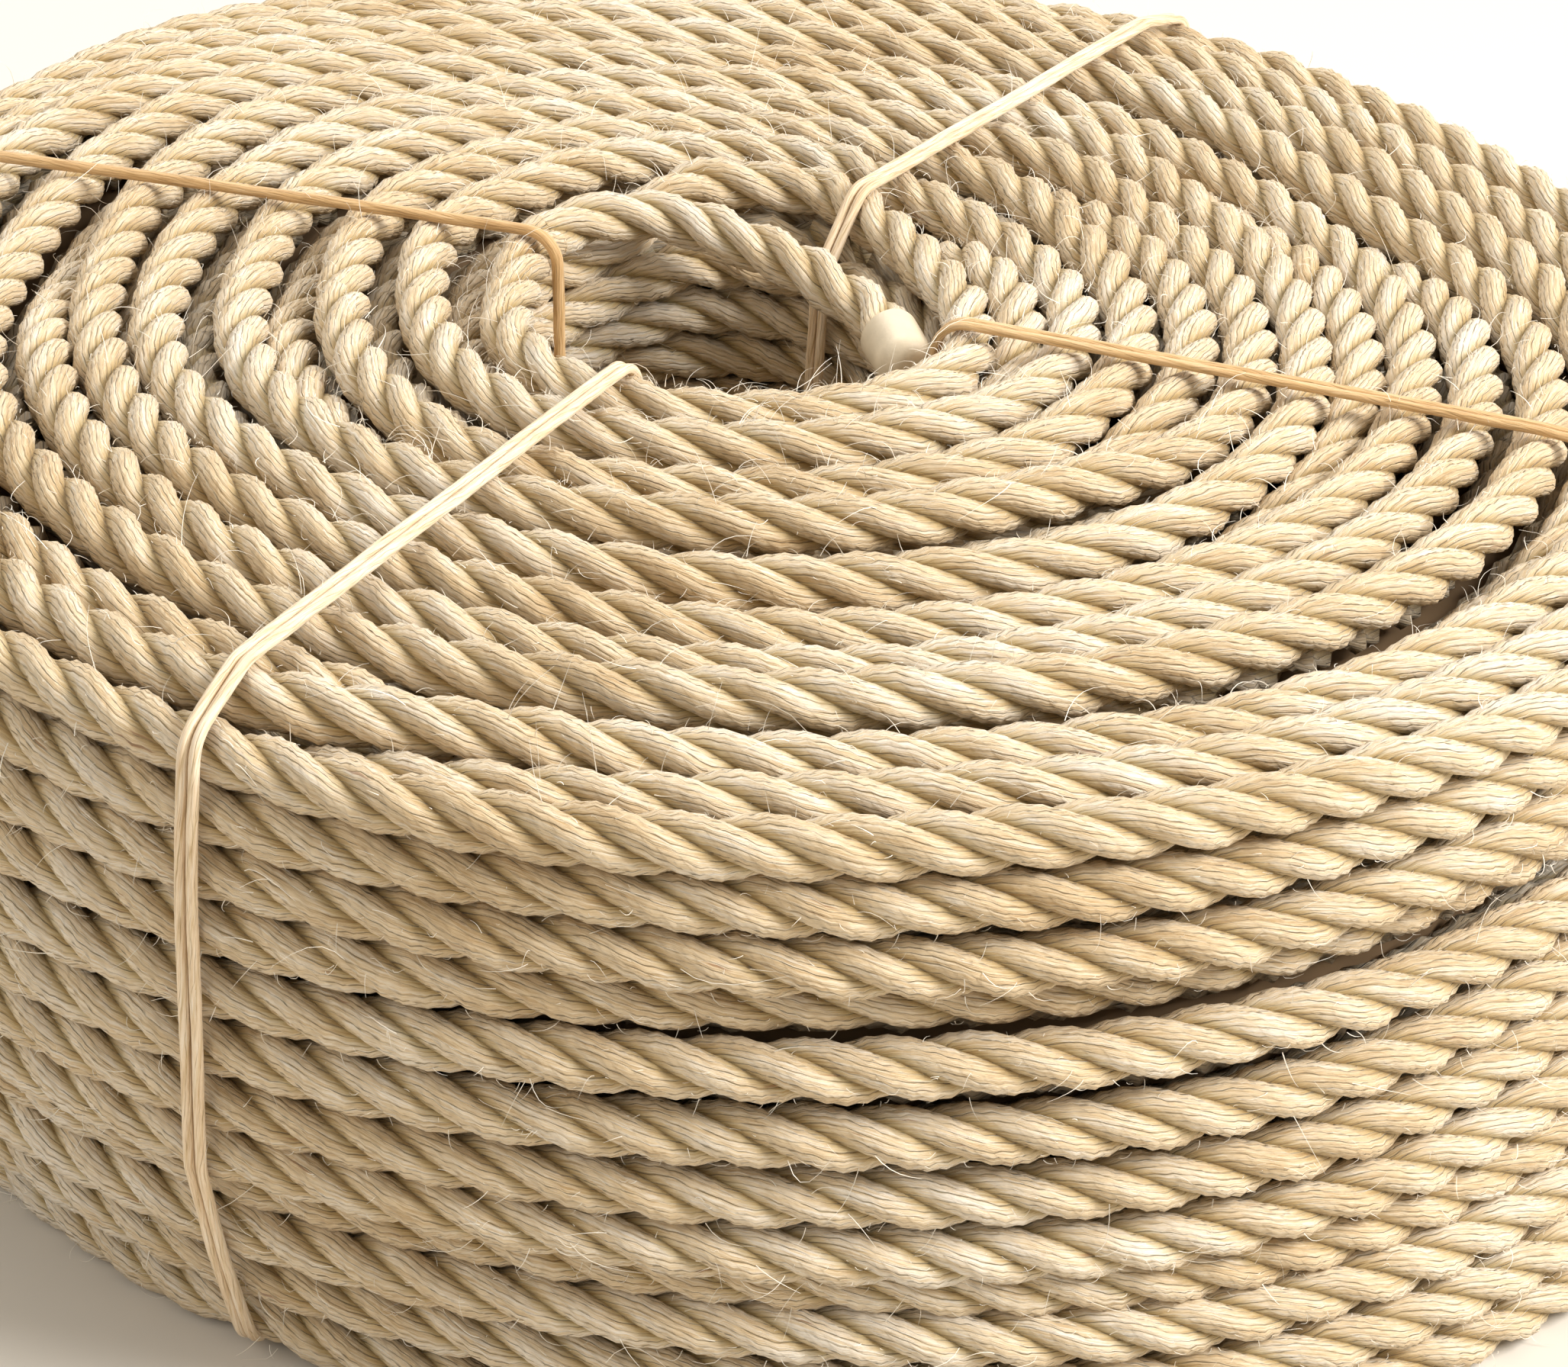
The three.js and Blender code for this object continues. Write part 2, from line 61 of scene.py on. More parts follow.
TOP_AZ = (-165, -125, -85, -55, -25, 0, 30, 60, 80, 97, 110, 130, 140, 146, 175)
TOP_TURNS = (
    # (radius of the centre at each azimuth, lift over TOP_Z at each azimuth)
    ((42.3, 41.3, 39, 39, 40, 38.5, 39.5, 49, 62, 63, 57.5, 54.5, 54.8, 48, 42),
     (0, 0, 0, 0, 0, 0, 0, 0, 0, 0, -2.5, -9.6, -9.6, 0, 0)),
    ((48.7, 47.5, 45, 45.5, 47.5, 47.5, 49, 57.5, 67.5, 70, 66.5, 62.5, 61, 58, 49.5),
     (-8, -8, -8, -8, -5, -0.5, 0, -8, -8, -8, -8, -9, -9, -9, -8)),
    ((55.3, 54.7, 51, 52, 55, 57, 58.9, 65.5, 75, 77.8, 76, 69.7, 67.7, 66, 57.3),
     (0, 0, 0, 0.5, 0, 0, 0, 0, 0, 0, 0, 0, 0, 0, 0)),
    ((70, 71.3, 64, 66.5, 66, 67, 71.5, 83, 87.7, 89.3, 87.5, 83.4, 81.2, 79.8, 71.6),
     (0, 0, -2, -0.5, 0, 0, 0, 0, 0, 0, 0, 0, 0, 0, 0)),
    ((79.5, 78.5, 73, 75, 76.5, 77.5, 80.4, 91, 94, 95, 94, 91, 89.5, 88, 79.6),
     (-4, -7, -7, -7, -1.5, 0, -0.5, -7, -8, -8, -8, -8, -8, -8, -6)),
    ((87.8, 85.5, 81.4, 82, 87.5, 87.5, 89.3, 99.2, 100, 100.3, 100.3, 99.4, 97.7, 96, 88.4),
     (0, 1, 2, 1.5, 0, 0, -0.5, 0, 0, 0, 0, 0, 0, 0, 0)),
    ((102, 98, 96.7, 99, 98, 97, 99.7, 111.7, 113, 113.2, 113.6, 113.4, 111.2, 109.3, 102.7),
     (0, 0, -1, -0.5, 0, 0, 0, 0, 0, 0, 0, 0, 0, 0, 0)),
    ((107, 104.5, 105, 106.5, 106.5, 106.2, 106.8, 116.5, 118.5, 119.5, 120.5, 121, 119, 117, 108.5),
     (-8, -8, -7.5, -8, -3, 0, -3.5, -8, -8, -8, -8, -8, -8, -8, -8)),
    ((111.7, 110.5, 113.4, 114.5, 115, 115.5, 114.6, 121, 123.5, 125.3, 127.5, 129, 126.7, 124.5, 113.8),
     (0, 0, -1.5, -0.5, 0, 0, 0, 0, 0, 0, 0, 0, 0, 0, 0)),
    ((121.5, 123, 127, 125.5, 126, 126, 122, 130.5, 131, 131.5, 134.5, 136, 134.5, 131.5, 121),
     (-0.5, 0, 0, 0, 0, 0, -7, -7, -8, -8, -8, -8, -8, -8, -5)),
    ((132.5, 134.5, 140.5, 138.7, 138.3, 136.8, 129.7, 140, 138.7, 138.2, 140.8, 142.5, 142, 139, 130.5),
     (0.5, 0.5, 3.3, 1.5, 0.5, 0, 0, 0, 0, 0, 0, 0, 0, 0, 0)),
)

RIM_AZ = (-165, -140, -116, -106, -96, -80, -55, -40, -25, 0, 30, 60, 95, 130, 150, 175)
RIM_TURNS = (
    # (radius of the centre at each azimuth, lift over TOP_Z at each azimuth)
    ((143.5, 147, 148.3, 147.5, 146, 146, 146, 147, 148.5, 147.2, 142.9, 150.8, 150, 153.5,
      152.5, 142.8),
     (0, 0, 0, -5, -9, -9.5, -9, -8, -4, 0, 0, 0, 0, 0, 0, 0)),
    ((153.8, 155.5, 159.5, 156, 152.7, 150.5, 152.7, 153.2, 155.5, 157.3, 153.4, 162.3, 161,
      163.5, 160, 153.2),
     (0, 0.7, 2.7, 2.3, 0.2, -1.5, -2, -1.8, -1, 0, 0, 0, 0, 0, -1.5, -1)),
    ((161, 161.5, 164.5, 163.8, 162.2, 160.5, 162.4, 163.8, 165, 164.5, 162, 169, 167, 169.5,
      164.5, 160),
     (-8, -8, -7, -3.5, -2.5, -1.6, -1.5, -1.2, -1.5, -6, -8, -7.5, -7, -6, -8, -7)),
    ((166.5, 167, 169.4, 171.8, 172.2, 170.6, 172.4, 173.2, 173.5, 171.5, 171, 175.3, 173.5,
      176, 168.5, 165.5),
     (-1, -0.7, -1.3, -1.6, -2.4, -3.3, -3.2, -3.2, -3.5, -3, -3.2, -3, -3, -2, -2.5, -2)),
)

SIDE_AZ = (-150, -110, -85, -60, -30, 30, 90, 150)
SIDE_TURNS = (
    # (radius of the centre at each azimuth, height of the centre at each azimuth)
    ((167.5, 170.8, 171, 172, 172.5, 171.5, 171, 168.5),
     (102.7, 102.8, 101.3, 100.4, 100.5, 101, 101.5, 102.2)),
    ((171.5, 171, 172, 173, 173, 172, 169, 170.5),
     (93, 93.3, 91.5, 90, 91, 92.5, 93, 93)),
    ((171.5, 171, 167.5, 166.5, 169, 172.5, 169.5, 171),
     (83.5, 84, 83.5, 81.5, 80.5, 82.5, 83, 83.5)),
    ((172, 171, 173, 174, 174, 173, 169.5, 171),
     (73, 73, 74.5, 73, 71, 72.5, 73, 73.5)),
    ((171.5, 171, 172.5, 175, 175, 173, 169.5, 171),
     (63, 63, 62.5, 61, 61, 62.5, 63, 63.5)),
    ((171, 171, 172, 175.5, 176, 173, 169, 171),
     (53.5, 53, 51.5, 50, 50.5, 52.5, 53.5, 53.5)),
    ((170, 171, 172, 176.5, 178.5, 173.5, 168.5, 170),
     (44, 44.5, 41.5, 39.5, 41, 42.5, 43.5, 44)),
    ((165.5, 165, 168.5, 175, 179, 174.5, 168, 166.5),
     (35.5, 36, 34, 31, 31.5, 33, 34, 35)),
    ((165.5, 166.5, 170.5, 178, 182.5, 175.5, 168, 167),
     (26.5, 27, 25.5, 23, 22.8, 24, 25, 26)),
    ((161, 163, 170, 179.5, 185, 176, 168, 164),
     (15.8, 16, 15.5, 14, 14, 15, 15.5, 15.8)),
    ((155.5, 160.5, 168, 180, 186, 174, 167, 161),
     (5, 5, 5, 5, 5, 5, 5, 5)),
)

EYE_AZ = (-150, -60, 30, 65, 100, 118, 135, 150, 175)
EYE_BACK = (0, 0, 0.5, 7, 14, 15, 14.5, 12, 3.5)  # how far the wall stands back
EYE_DROP = (0, 0, 0, 0, 0.5, 5, 8.5, 7.5, 1.2)  # how far its top is pressed down
EYE_TURNS = (
    # (height of the centre, radius of the centre, share of EYE_BACK)
    (103.4, 38.5, 0.8),
    (93.6, 37.8, 0.95),
    (83.8, 38.5, 1.05),
    (73.8, 38, 1.1),
    (64, 38.2, 1.1),
    (54.2, 38, 1.05),
    (44.4, 38.3, 0.95),
    (34.6, 38, 0.8),
    (24.8, 38.3, 0.65),
    (14.9, 38, 0.5),
    (5, 38.2, 0.4),
)
UNDER_TURNS = 12  # turns of the underside between the eye and the outer side

TIES = (
    # (node, azimuth of its plane, the plane's sideways offset, twine diameter, runs, finish)
    ("tie_front", -114.3, -5.0, 1.8, 2, "tie_straw"),
    ("tie_right", -20.0, 3.0, 1.6, 2, "tie_tan"),
    ("tie_back", 58.3, 8.5, 1.8, 2, "tie_straw"),
    ("tie_left", 166.0, -12.0, 2.2, 1, "tie_tan"),
)

LOOSE_END = (
    # (azimuth, radius, height), from the rim to the tip
    (140, 49, 113.7),
    (134, 49.8, 114.2),
    (124, 49.3, 114.7),
    (113, 46.5, 114.6),
    (104, 42.2, 114.2),
    (96, 37.2, 113.6),
    (85, 32.9, 112.9),
    (70, 28.8, 112.2),
    (50, 25.6, 110.9),
    (28, 25.8, 109.9),
    (12, 25.6, 109.3),
)
SEAL_D = 10.6
SEAL_L = 12.5
SEAL_ROUND = 3.1  # rounding of the seal's tip
SEAL_BACK = 0.3  # how far the seal reaches back over the rope
SEAL_SMOOTH = 50  # edges below this angle are shaded smooth, in degrees

# The inmost turn, which starts where the loose end leaves the rim and ends below it
INMOST_FROM = 146
INMOST_TO = 468
INMOST_STEP = 3
INMOST_DIVE = (
    # (azimuth after more than a turn, radius, height)
    (475, 54.8, 108.2),
    (484, 54.3, 104.8),
    (494, 54.2, 103.9),
    (508, 52.5, 103.8),
    (520, 50.8, 104.1),
    (535, 51.0, 104.2),
    (550, 54.0, 104.0),
)

# How a length of rope or twine is laid from its strands
STRANDS = 3  # in rope and twine
HALF_STRAND = math.pi / STRANDS
FINE_SPLIT = (-1, -0.87, -0.62, -0.31, 0, 0.31, 0.62, 0.87)  # points across a strand, in half strands
FINE = len(FINE_SPLIT)
ROPE_OFFSET = 0.46  # from the middle of the rope to a strand's, in radii of the rope
ROPE_SWELL = 0.04  # how much a strand swells and thins on its way
SWELL_WAVES = (3, 7, 11, 19, 29)  # waves of that swelling in one length
SWELL_SUM = 2.5  # brings the sum of those waves to about 1 at most
SWELL_EDGE = 1.2  # the swelling fades to the cosine of this at a strand's edges
YARN_TWIST = 0.60  # how far the yarns go round in one lay, in circumferences of the rope
STRAND_SHIFT = 41.7  # from one strand's yarns to the next strand's, in mm of the yarn map
MAP_SPREAD = 500  # the yarn map of each length starts somewhere in this many mm
MAP_MM = 10.0  # mm to one unit of the yarn map
LEAST_POINTS = 24  # of a ring
SMOOTH_BELOW = 62  # edges below this angle are shaded smooth, in degrees

# How the turns wander and give way, and how closely they are drawn
WANDER = 0.35  # largest wander of a turn that shows, about
WANDER_WAVES = (2, 3, 5, 8, 13)
UNDER_WANDER = 0.4
UNDER_CLEAR = 0.05  # from the underside's turns to the floor
UNDER_FROM = 38  # about where the underside starts, and how wide it is
UNDER_WIDTH = 130
UNDER_POINTS = 5  # across a strand
INNER_POINTS = 4
TWINE_POINTS = 5
TOP_SPLIT = 8  # the top's turns before this one are in its inner piece
SIDE_SPLIT = 6  # the outer side's turns before this one are in its upper piece
TIE_REACH = 8.0  # about how far to each side of a tie the lowest turns are lifted
NO_TIE = 99.0  # stands for the half of a tie's plane behind the axis, where the tie isn't
LOW_TURN_SHARE = 0.6  # of that lift at the foot of the eye and of the outer side
# the seed of each kind's first turn
SEEDS = {"top": 100, "rim": 150, "side": 200, "eye": 300, "under": 400, "inner": 600, "ties": 900}
SEED_LOOSE = 7
SEED_INMOST = 11
SEED_STEP_Z = 500  # from the seed of a turn's sideways wander to its upward one's
LOOSE_STEP = 2.5
UNDER_STEP = 4.2
INNER_STEP = 5.0
INNER_RADIUS = {"eye": 40, "top": 110, "rim": 165, "side": 165}  # about, to space the sections by
LEAST_SINK = 30.0  # square of the least depth of an inner turn below the outer ones

# The plain ring behind the turns, dark brown as painted shade for the gaps
CORE_SINK = 13.0
CORE_EYE = 52
CORE_LOW = 8.0
CORE_HIGH = 99.0
CORE_SIDES = 72
CORE_SHADE_COLOUR = (0.26, 0.165, 0.085)

# The twine of the ties
TWINE_OFFSET = 0.07
TWINE_SWELL = 0.06
TWINE_LAY = 22  # in diameters of the twine
TWINE_STEP = 1.15
TWINE_CLEAR = 0.15
RUN_SPACING = 1.1  # from one run to the next, in diameters of the twine
FIRST_GUESS = 100.0  # of a turn's radius where a tie crosses it
BEND_STEP = 0.6  # from point to point where a tie bends round a turn
FLOOR_TURNS = 6  # turns with their centre below this height lie on the floor

# The fibres that stand off the rope
FIBRE_SHARE = {"eye": 0.05, "top": 0.4, "rim": 0.13, "side": 0.42}
FIBRES = (
    # (piece, number to one stray fibre, seed, shape and scale of the spread of lengths,
    #  least and most length, segments, least and most radius)
    ("stray_fibres", 1.0, 4021, (3.2, 1.9), (1.5, 17.0), 5, (0.05, 0.10)),
    ("short_fuzz", 2.6, 977, (2.4, 0.8), (0.6, 4.5), 3, (0.04, 0.075)),
)
FIBRE_SIDES = 3
FIBRE_TAPER = 0.75  # share of its radius that a fibre loses by its tip
FIBRE_LOWEST = 0.2
FACING_SPREAD = 42  # degrees
ROOT_SHARE = 0.9  # how far out in the rope a fibre is rooted

# Colours of the twine, as light, middle and dark
STRAW = ((0.90, 0.78, 0.62), (0.82, 0.64, 0.43), (0.55, 0.36, 0.18))
TAN = ((0.80, 0.56, 0.31), (0.66, 0.42, 0.19), (0.42, 0.23, 0.08))
FLECK = (0.30, 0.13, 0.045)
SHEEN = (1.0, 0.93, 0.8)
GAP_SHADE_SHARE = 0.8  # brightness of the rope in the gaps: the inner turns are a darker copy of it, painted shade

# The viewer's camera, in millimetres and degrees, and its lens in millimetres
CAMERA_AT = (0.0, -663.08, 410.35)
CAMERA_YAW = 0.7778
CAMERA_PITCH = 29.0816
CAMERA_ROLL = 2.5672
CAMERA_LENS = 95.252
SENSOR_WIDTH = 36.0
CLIP_END = 50

# Floor and light, in metres and watts
FLOOR_SIZE = 12.0
SKY_COLOUR = (1.0, 0.965, 0.91)
SKY_STRENGTH = 0.58
LIGHT_AIM = (0, 0, 0.06)
LIGHTS = (
    # (name, place, diameter, power, colour)
    ("key_right", (1.15, -0.35, 1.0), 0.8, 33, (1.0, 0.985, 0.965)),
    ("fill_left", (-1.3, -0.5, 0.9), 1.2, 4, (1.0, 0.96, 0.90)),
    ("top_back", (-0.35, 0.9, 1.3), 1.0, 13, (1.0, 0.98, 0.95)),
)


def sizes():
    """The sizes and colours that a user would change."""
    return bpy.context.scene.rope_coil


# Turns

def around(columns, values, azimuth):
    """Smooth values of a row of a table at azimuths, closing after 360 degrees."""
    x = np.array(columns, float)
    y = np.array(values, float)
    x = np.concatenate([x[-3:] - 360, x, x[:3] + 360])
    y = np.concatenate([y[-3:], y, y[:3]])
    rise = np.diff(y) / np.diff(x)
    product = rise[:-1] * rise[1:]
    total = rise[:-1] + rise[1:]
    slope = np.zeros(len(x))
    good = product > 0
    slope[1:-1][good] = 2 * product[good] / total[good]
    a = (np.asarray(azimuth, float) - columns[0]) % 360 + columns[0]
    i = np.clip(np.searchsorted(x, a, side="right") - 1, 0, len(x) - 2)
    span = x[i + 1] - x[i]
    t = (a - x[i]) / span
    return (
        (2 * t**3 - 3 * t**2 + 1) * y[i]
        + (t**3 - 2 * t**2 + t) * span * slope[i]
        + (3 * t**2 - 2 * t**3) * y[i + 1]
        + (t**3 - t**2) * span * slope[i + 1]
    )


def drift(azimuth, seed, size):
    """A small wander that closes after a turn."""
    rng = np.random.default_rng(seed)
    a = np.radians(azimuth)
    total = np.zeros(len(a))
    for k in WANDER_WAVES:
        total += np.cos(k * a + rng.uniform(0, 2 * math.pi)) / k**0.6
    return size * total / 2


def near_ties(azimuth, radius):
    """1 where a tie passes, falling to 0 a little way round from it."""
    near = np.zeros(len(azimuth))
    for _, at, aside, _, _, _ in TIES:
        apart = np.radians(azimuth - at)
        across = np.where(np.cos(apart) > 0, radius * np.sin(apart) - aside, NO_TIE)
        near = np.maximum(near, np.exp(-((across / TIE_REACH) ** 2)))
    return near


TABLES = {
    # the azimuths of a table's columns, its rows, and the height that its lifts start from
    "eye": (EYE_AZ, EYE_TURNS, 0.0),
    "top": (TOP_AZ, TOP_TURNS, TOP_Z),
    "rim": (RIM_AZ, RIM_TURNS, TOP_Z),
    "side": (SIDE_AZ, SIDE_TURNS, 0.0),
}


def turn_line(kind, index, azimuth):
    """Centre radius and height of a turn at azimuths."""
    columns, rows, base = TABLES[kind]
    if kind == "eye":
        height, radius, share = rows[index]
        drop = around(columns, EYE_DROP, azimuth) / (TOP_Z - ROPE_R)
        back = around(columns, EYE_BACK, azimuth)
        return radius + back * share, height - drop * (height - ROPE_R)
    radius, height = rows[index]
    return around(columns, radius, azimuth), base + around(columns, height, azimuth)


def outer_turns():
    """The turns that show, in order round the body: (kind, index, facing in degrees)."""
    eye = [("eye", i, 180) for i in reversed(range(len(EYE_TURNS)))]
    top = [("top", i, 90) for i in range(len(TOP_TURNS))]
    rim = [("rim", i, 90) for i in range(len(RIM_TURNS))]
    side = [("side", i, 0) for i in range(len(SIDE_TURNS))]
    return eye + top + rim + side


def to_points(azimuth, radius, height):
    """Points in the object's frame from places round the coil's axis."""
    a = np.radians(azimuth)
    return np.stack(
        [radius * np.cos(a) + AXIS_X, radius * np.sin(a) + AXIS_Y, height], axis=1
    )


def even_azimuths(radius, step):
    """Azimuths round a whole turn, about a step apart at a radius."""
    count = max(LEAST_POINTS, int(round(2 * math.pi * radius / step)))
    return np.arange(count) * (360.0 / count) - 180.0


# Paths

def smooth_curve(points, step):
    """Even points of a centripetal curve through points."""
    p = np.array(points, float)
    p = np.concatenate([[2 * p[0] - p[1]], p, [2 * p[-1] - p[-2]]])
    out = []
    for i in range(len(p) - 3):
        q = p[i : i + 4]
        t = np.concatenate([[0], np.cumsum(np.sqrt(np.linalg.norm(np.diff(q, axis=0), axis=1)))])
        for x in np.linspace(t[1], t[2], 40, endpoint=i == len(p) - 4):
            a = [between(x, t[k], t[k + 1], q[k], q[k + 1]) for k in range(3)]
            b = [between(x, t[k], t[k + 2], a[k], a[k + 1]) for k in range(2)]
            out.append(between(x, t[1], t[2], b[0], b[1]))
    return even_points(np.array(out), step)


def between(x, start, end, first, second):
    """The point at x of a straight line that is at first at start, and at second at end."""
    return (end - x) / (end - start) * first + (x - start) / (end - start) * second


def even_points(points, step):
    """Points about a step apart on the line through points."""
    at = np.concatenate([[0], np.cumsum(np.linalg.norm(np.diff(points, axis=0), axis=1))])
    count = max(2, int(round(at[-1] / step)) + 1)
    s = np.linspace(0, at[-1], count)
    return np.stack([np.interp(s, at, points[:, k]) for k in range(3)], axis=1)


def loose_path():
    """The loose end's line from the rim to its tip."""
    rows = np.array(LOOSE_END, float)
    return smooth_curve(to_points(rows[:, 0], rows[:, 1], rows[:, 2]), LOOSE_STEP)


def inmost_path():
    """The inmost turn, from where the loose end leaves it to where it dives below."""
    azimuth = np.arange(INMOST_FROM, INMOST_TO, INMOST_STEP, dtype=float)
    r, z = turn_line("top", 0, azimuth)
    rows = np.concatenate([LOOSE_END[:1], np.stack([azimuth, r, z], axis=1), INMOST_DIVE])
    return smooth_curve(to_points(rows[:, 0], rows[:, 1], rows[:, 2]), sizes().step)


def level_side(path):
    """Sideways direction of a turn that lies level: towards the eye."""
    side = -path.copy()
    side[:, 0] += AXIS_X
    side[:, 1] += AXIS_Y
    side[:, 2] = 0
    return side / np.linalg.norm(side, axis=1)[:, None]


def frame_along(path, side, closed):
    """Sideways and upward directions of a path, how far along each point is, and its length."""
    after = np.roll(path, -1, axis=0)
    along = after - np.roll(path, 1, axis=0)
    gaps = np.linalg.norm(after - path, axis=1)
    if not closed:
        along[0] = path[1] - path[0]
        along[-1] = path[-1] - path[-2]
        gaps = gaps[:-1]
    along /= np.linalg.norm(along, axis=1)[:, None]
    side = side - along * np.sum(side * along, axis=1)[:, None]
    side /= np.linalg.norm(side, axis=1)[:, None]
    at = np.concatenate([[0.0], np.cumsum(gaps)])
    return side, np.cross(along, side), at[: len(path)], at[-1]


# Laid rope

def strand_section(per, offset):
    """Points across a strand: angles and reach from the rope's middle, and angles from its own."""
    if per == FINE:
        split = np.array(FINE_SPLIT) * HALF_STRAND
    else:
        split = (np.arange(per) / per * 2 - 1) * HALF_STRAND
    reach = offset * np.cos(split) + np.sqrt((1 - offset) ** 2 - (offset * np.sin(split)) ** 2)
    arc = np.arctan2(reach * np.sin(split), reach * np.cos(split) - offset)
    return split, reach, arc


def ring_quads(rows, across, rings):
    """Corners of the quads between rings of points, where the ring after the last is the first."""
    i = np.arange(rows)[:, None]
    j = np.arange(across)[None, :]
    here = i * across
    after = (i + 1) % rings * across
    beside = (j + 1) % across
    return np.stack([here + j, here + beside, after + beside, after + j], axis=2).reshape(-1, 4)


def yarn_map(here, step, across, drag, shift):
    """Map of each quad's corners: along the rope, and across it with the yarns' own twist."""
    per = len(across)
    m = STRANDS * per
    ends = np.append(across, -across[0])
    k = np.arange(m) % per
    near = ends[k]
    far = ends[k + 1]
    shift = np.arange(m) // per * STRAND_SHIFT + shift
    before = here[:, None]
    after = before + step[:, None]
    corners = np.empty((len(here), m, 4, 2))
    for c, (u, v) in enumerate(((before, near), (before, far), (after, far), (after, near))):
        corners[:, :, c, 0] = u
        corners[:, :, c, 1] = v + drag * u + shift
    return corners.reshape(-1, 2)


class Laid:
    """Gathers lengths of laid rope or twine into one mesh with its yarn map."""

    def __init__(self):
        self.points = []
        self.quads = []
        self.yarn = []
        self.groove = []
        self.tone = []
        self.count = 0

    def run(self, path, side, radius, lay, seed, per=FINE, closed=True, start=0.0,
            swell=ROPE_SWELL, offset=ROPE_OFFSET):
        """One length along path: side points sideways, start is where it is on its rope."""
        rng = np.random.default_rng(seed)
        n = len(path)
        side, up, at, length = frame_along(path, side, closed)
        if closed:
            lay = length / max(1, round(length / lay))
        split, reach, arc = strand_section(per, offset)
        turn = 2 * math.pi * (at + start) / lay
        phase = 2 * math.pi * at / max(length, 1)
        edge = np.cos(split / HALF_STRAND * SWELL_EDGE)
        strands = []
        for s in range(STRANDS):
            bulge = np.zeros(n)
            for k in SWELL_WAVES:
                bulge += np.cos(k * phase + rng.uniform(0, 2 * math.pi))
            bulge = 1 + swell * bulge / SWELL_SUM
            angle = turn[:, None] + 2 * math.pi * s / STRANDS + split[None, :]
            r = radius * reach[None, :] * (1 + (bulge[:, None] - 1) * edge)
            strands.append(
                path[:, None, :]
                + (r * np.cos(angle))[:, :, None] * side[:, None, :]
                + (r * np.sin(angle))[:, :, None] * up[:, None, :]
            )
        m = STRANDS * per
        rows = n if closed else n - 1
        step = np.append(np.diff(at), length - at[-1])
        width = 1 - offset
        drag = YARN_TWIST / width * 2 * math.pi / lay * radius * width
        shift = rng.uniform(0, MAP_SPREAD)
        self.yarn.append(yarn_map((at + start)[:rows], step[:rows], arc * radius * width, drag, shift))
        self.quads.append(ring_quads(rows, m, n) + self.count)
        self.points.append(np.concatenate(strands, axis=1).reshape(-1, 3))
        self.groove.append(np.tile(np.abs(split) / HALF_STRAND, n * STRANDS))
        self.tone.append(np.full(n * m, rng.uniform(0, 1)))
        first = self.count
        self.count += n * m
        if not closed:
            self.shut(path[0], first, m, True)
            self.shut(path[-1], first + (n - 1) * m, m, False)

    def shut(self, centre, start, m, turned):
        """Shuts one end of an open length: a fan of quads from its centre to the ring at start."""
        j = np.arange(0, m, 2)
        ring = [start + j, start + (j + 1) % m, start + (j + 2) % m]
        if turned:
            ring.reverse()
        hub = np.full(len(j), self.count)
        self.quads.append(np.stack([hub, *ring], axis=1))
        self.yarn.append(np.zeros((4 * len(j), 2)))
        self.points.append(np.array(centre).reshape(1, 3))
        self.groove.append(np.full(1, 0.5))
        self.tone.append(np.full(1, 0.5))
        self.count += 1

    def piece(self, name, material, slot, *nodes):
        """Makes the mesh, with the yarn map and with each point's groove and tone."""
        points = np.concatenate(self.points) * MM
        quads = np.concatenate(self.quads)
        mesh = bpy.data.meshes.new(name)
        mesh.vertices.add(len(points))
        mesh.vertices.foreach_set("co", points.ravel())
        mesh.loops.add(quads.size)
        mesh.loops.foreach_set("vertex_index", quads.ravel().astype(np.int32))
        mesh.polygons.add(len(quads))
        starts = np.arange(len(quads), dtype=np.int32) * 4
        mesh.polygons.foreach_set("loop_start", starts)
        uv = mesh.uv_layers.new(name="yarn")
        uv.data.foreach_set("uv", (np.concatenate(self.yarn) / MAP_MM).ravel())
        for label, values in (("groove", self.groove), ("tone", self.tone)):
            layer = mesh.attributes.new(label, "FLOAT", "POINT")
            layer.data.foreach_set("value", np.concatenate(values))
        mesh.update(calc_edges=True)
        mesh.validate()
        return show(mesh, name, material, nodes)


def show(mesh, name, material, nodes):
    """Puts a finished mesh in the scene as a piece that stands for its nodes."""
    piece = bpy.data.objects.new(name, mesh)
    bpy.context.scene.collection.objects.link(piece)
    mesh.materials.append(material)
    select_only(piece)
    bpy.ops.object.shade_smooth_by_angle(angle=math.radians(SMOOTH_BELOW))
    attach(piece, "root")
    if nodes:
        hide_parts(*nodes)
    return piece


def select_only(piece):
    """Selects one piece alone and makes it active."""
    bpy.ops.object.select_all(action="DESELECT")
    piece.select_set(True)
    bpy.context.view_layer.objects.active = piece


def lay_path(rope, path, seed, **how):
    """Lays rope along a path that lies about level."""
    rope.run(path, level_side(path), ROPE_R, sizes().lay, seed, **how)


def lay_turns(rope, kind, rows):
    """Lays closed turns of the tables, each with a small wander."""
    for index in rows:
        seed = SEEDS[kind] + index
        quarters = np.array([-90.0, 0, 90, 180])
        mean = float(np.mean(turn_line(kind, index, quarters)[0]))
        azimuth = even_azimuths(mean, sizes().step)
        r, z = turn_line(kind, index, azimuth)
        r = r + drift(azimuth, seed, WANDER)
        z = z + drift(azimuth, seed + SEED_STEP_Z, WANDER)
        if kind in ("eye", "side") and index == len(TABLES[kind][1]) - 1:
            z = np.maximum(z, ROPE_R) + TIE_LIFT * LOW_TURN_SHARE * near_ties(azimuth, r)
        lay_path(rope, to_points(azimuth, r, z), seed)


def coil_piece(rope, name, finish="jute_rope"):
    """A piece of the coil itself, which stands for the coil's solid."""
    return rope.piece(name, finish_of(finish), "jute_rope", "coil")


# Materials

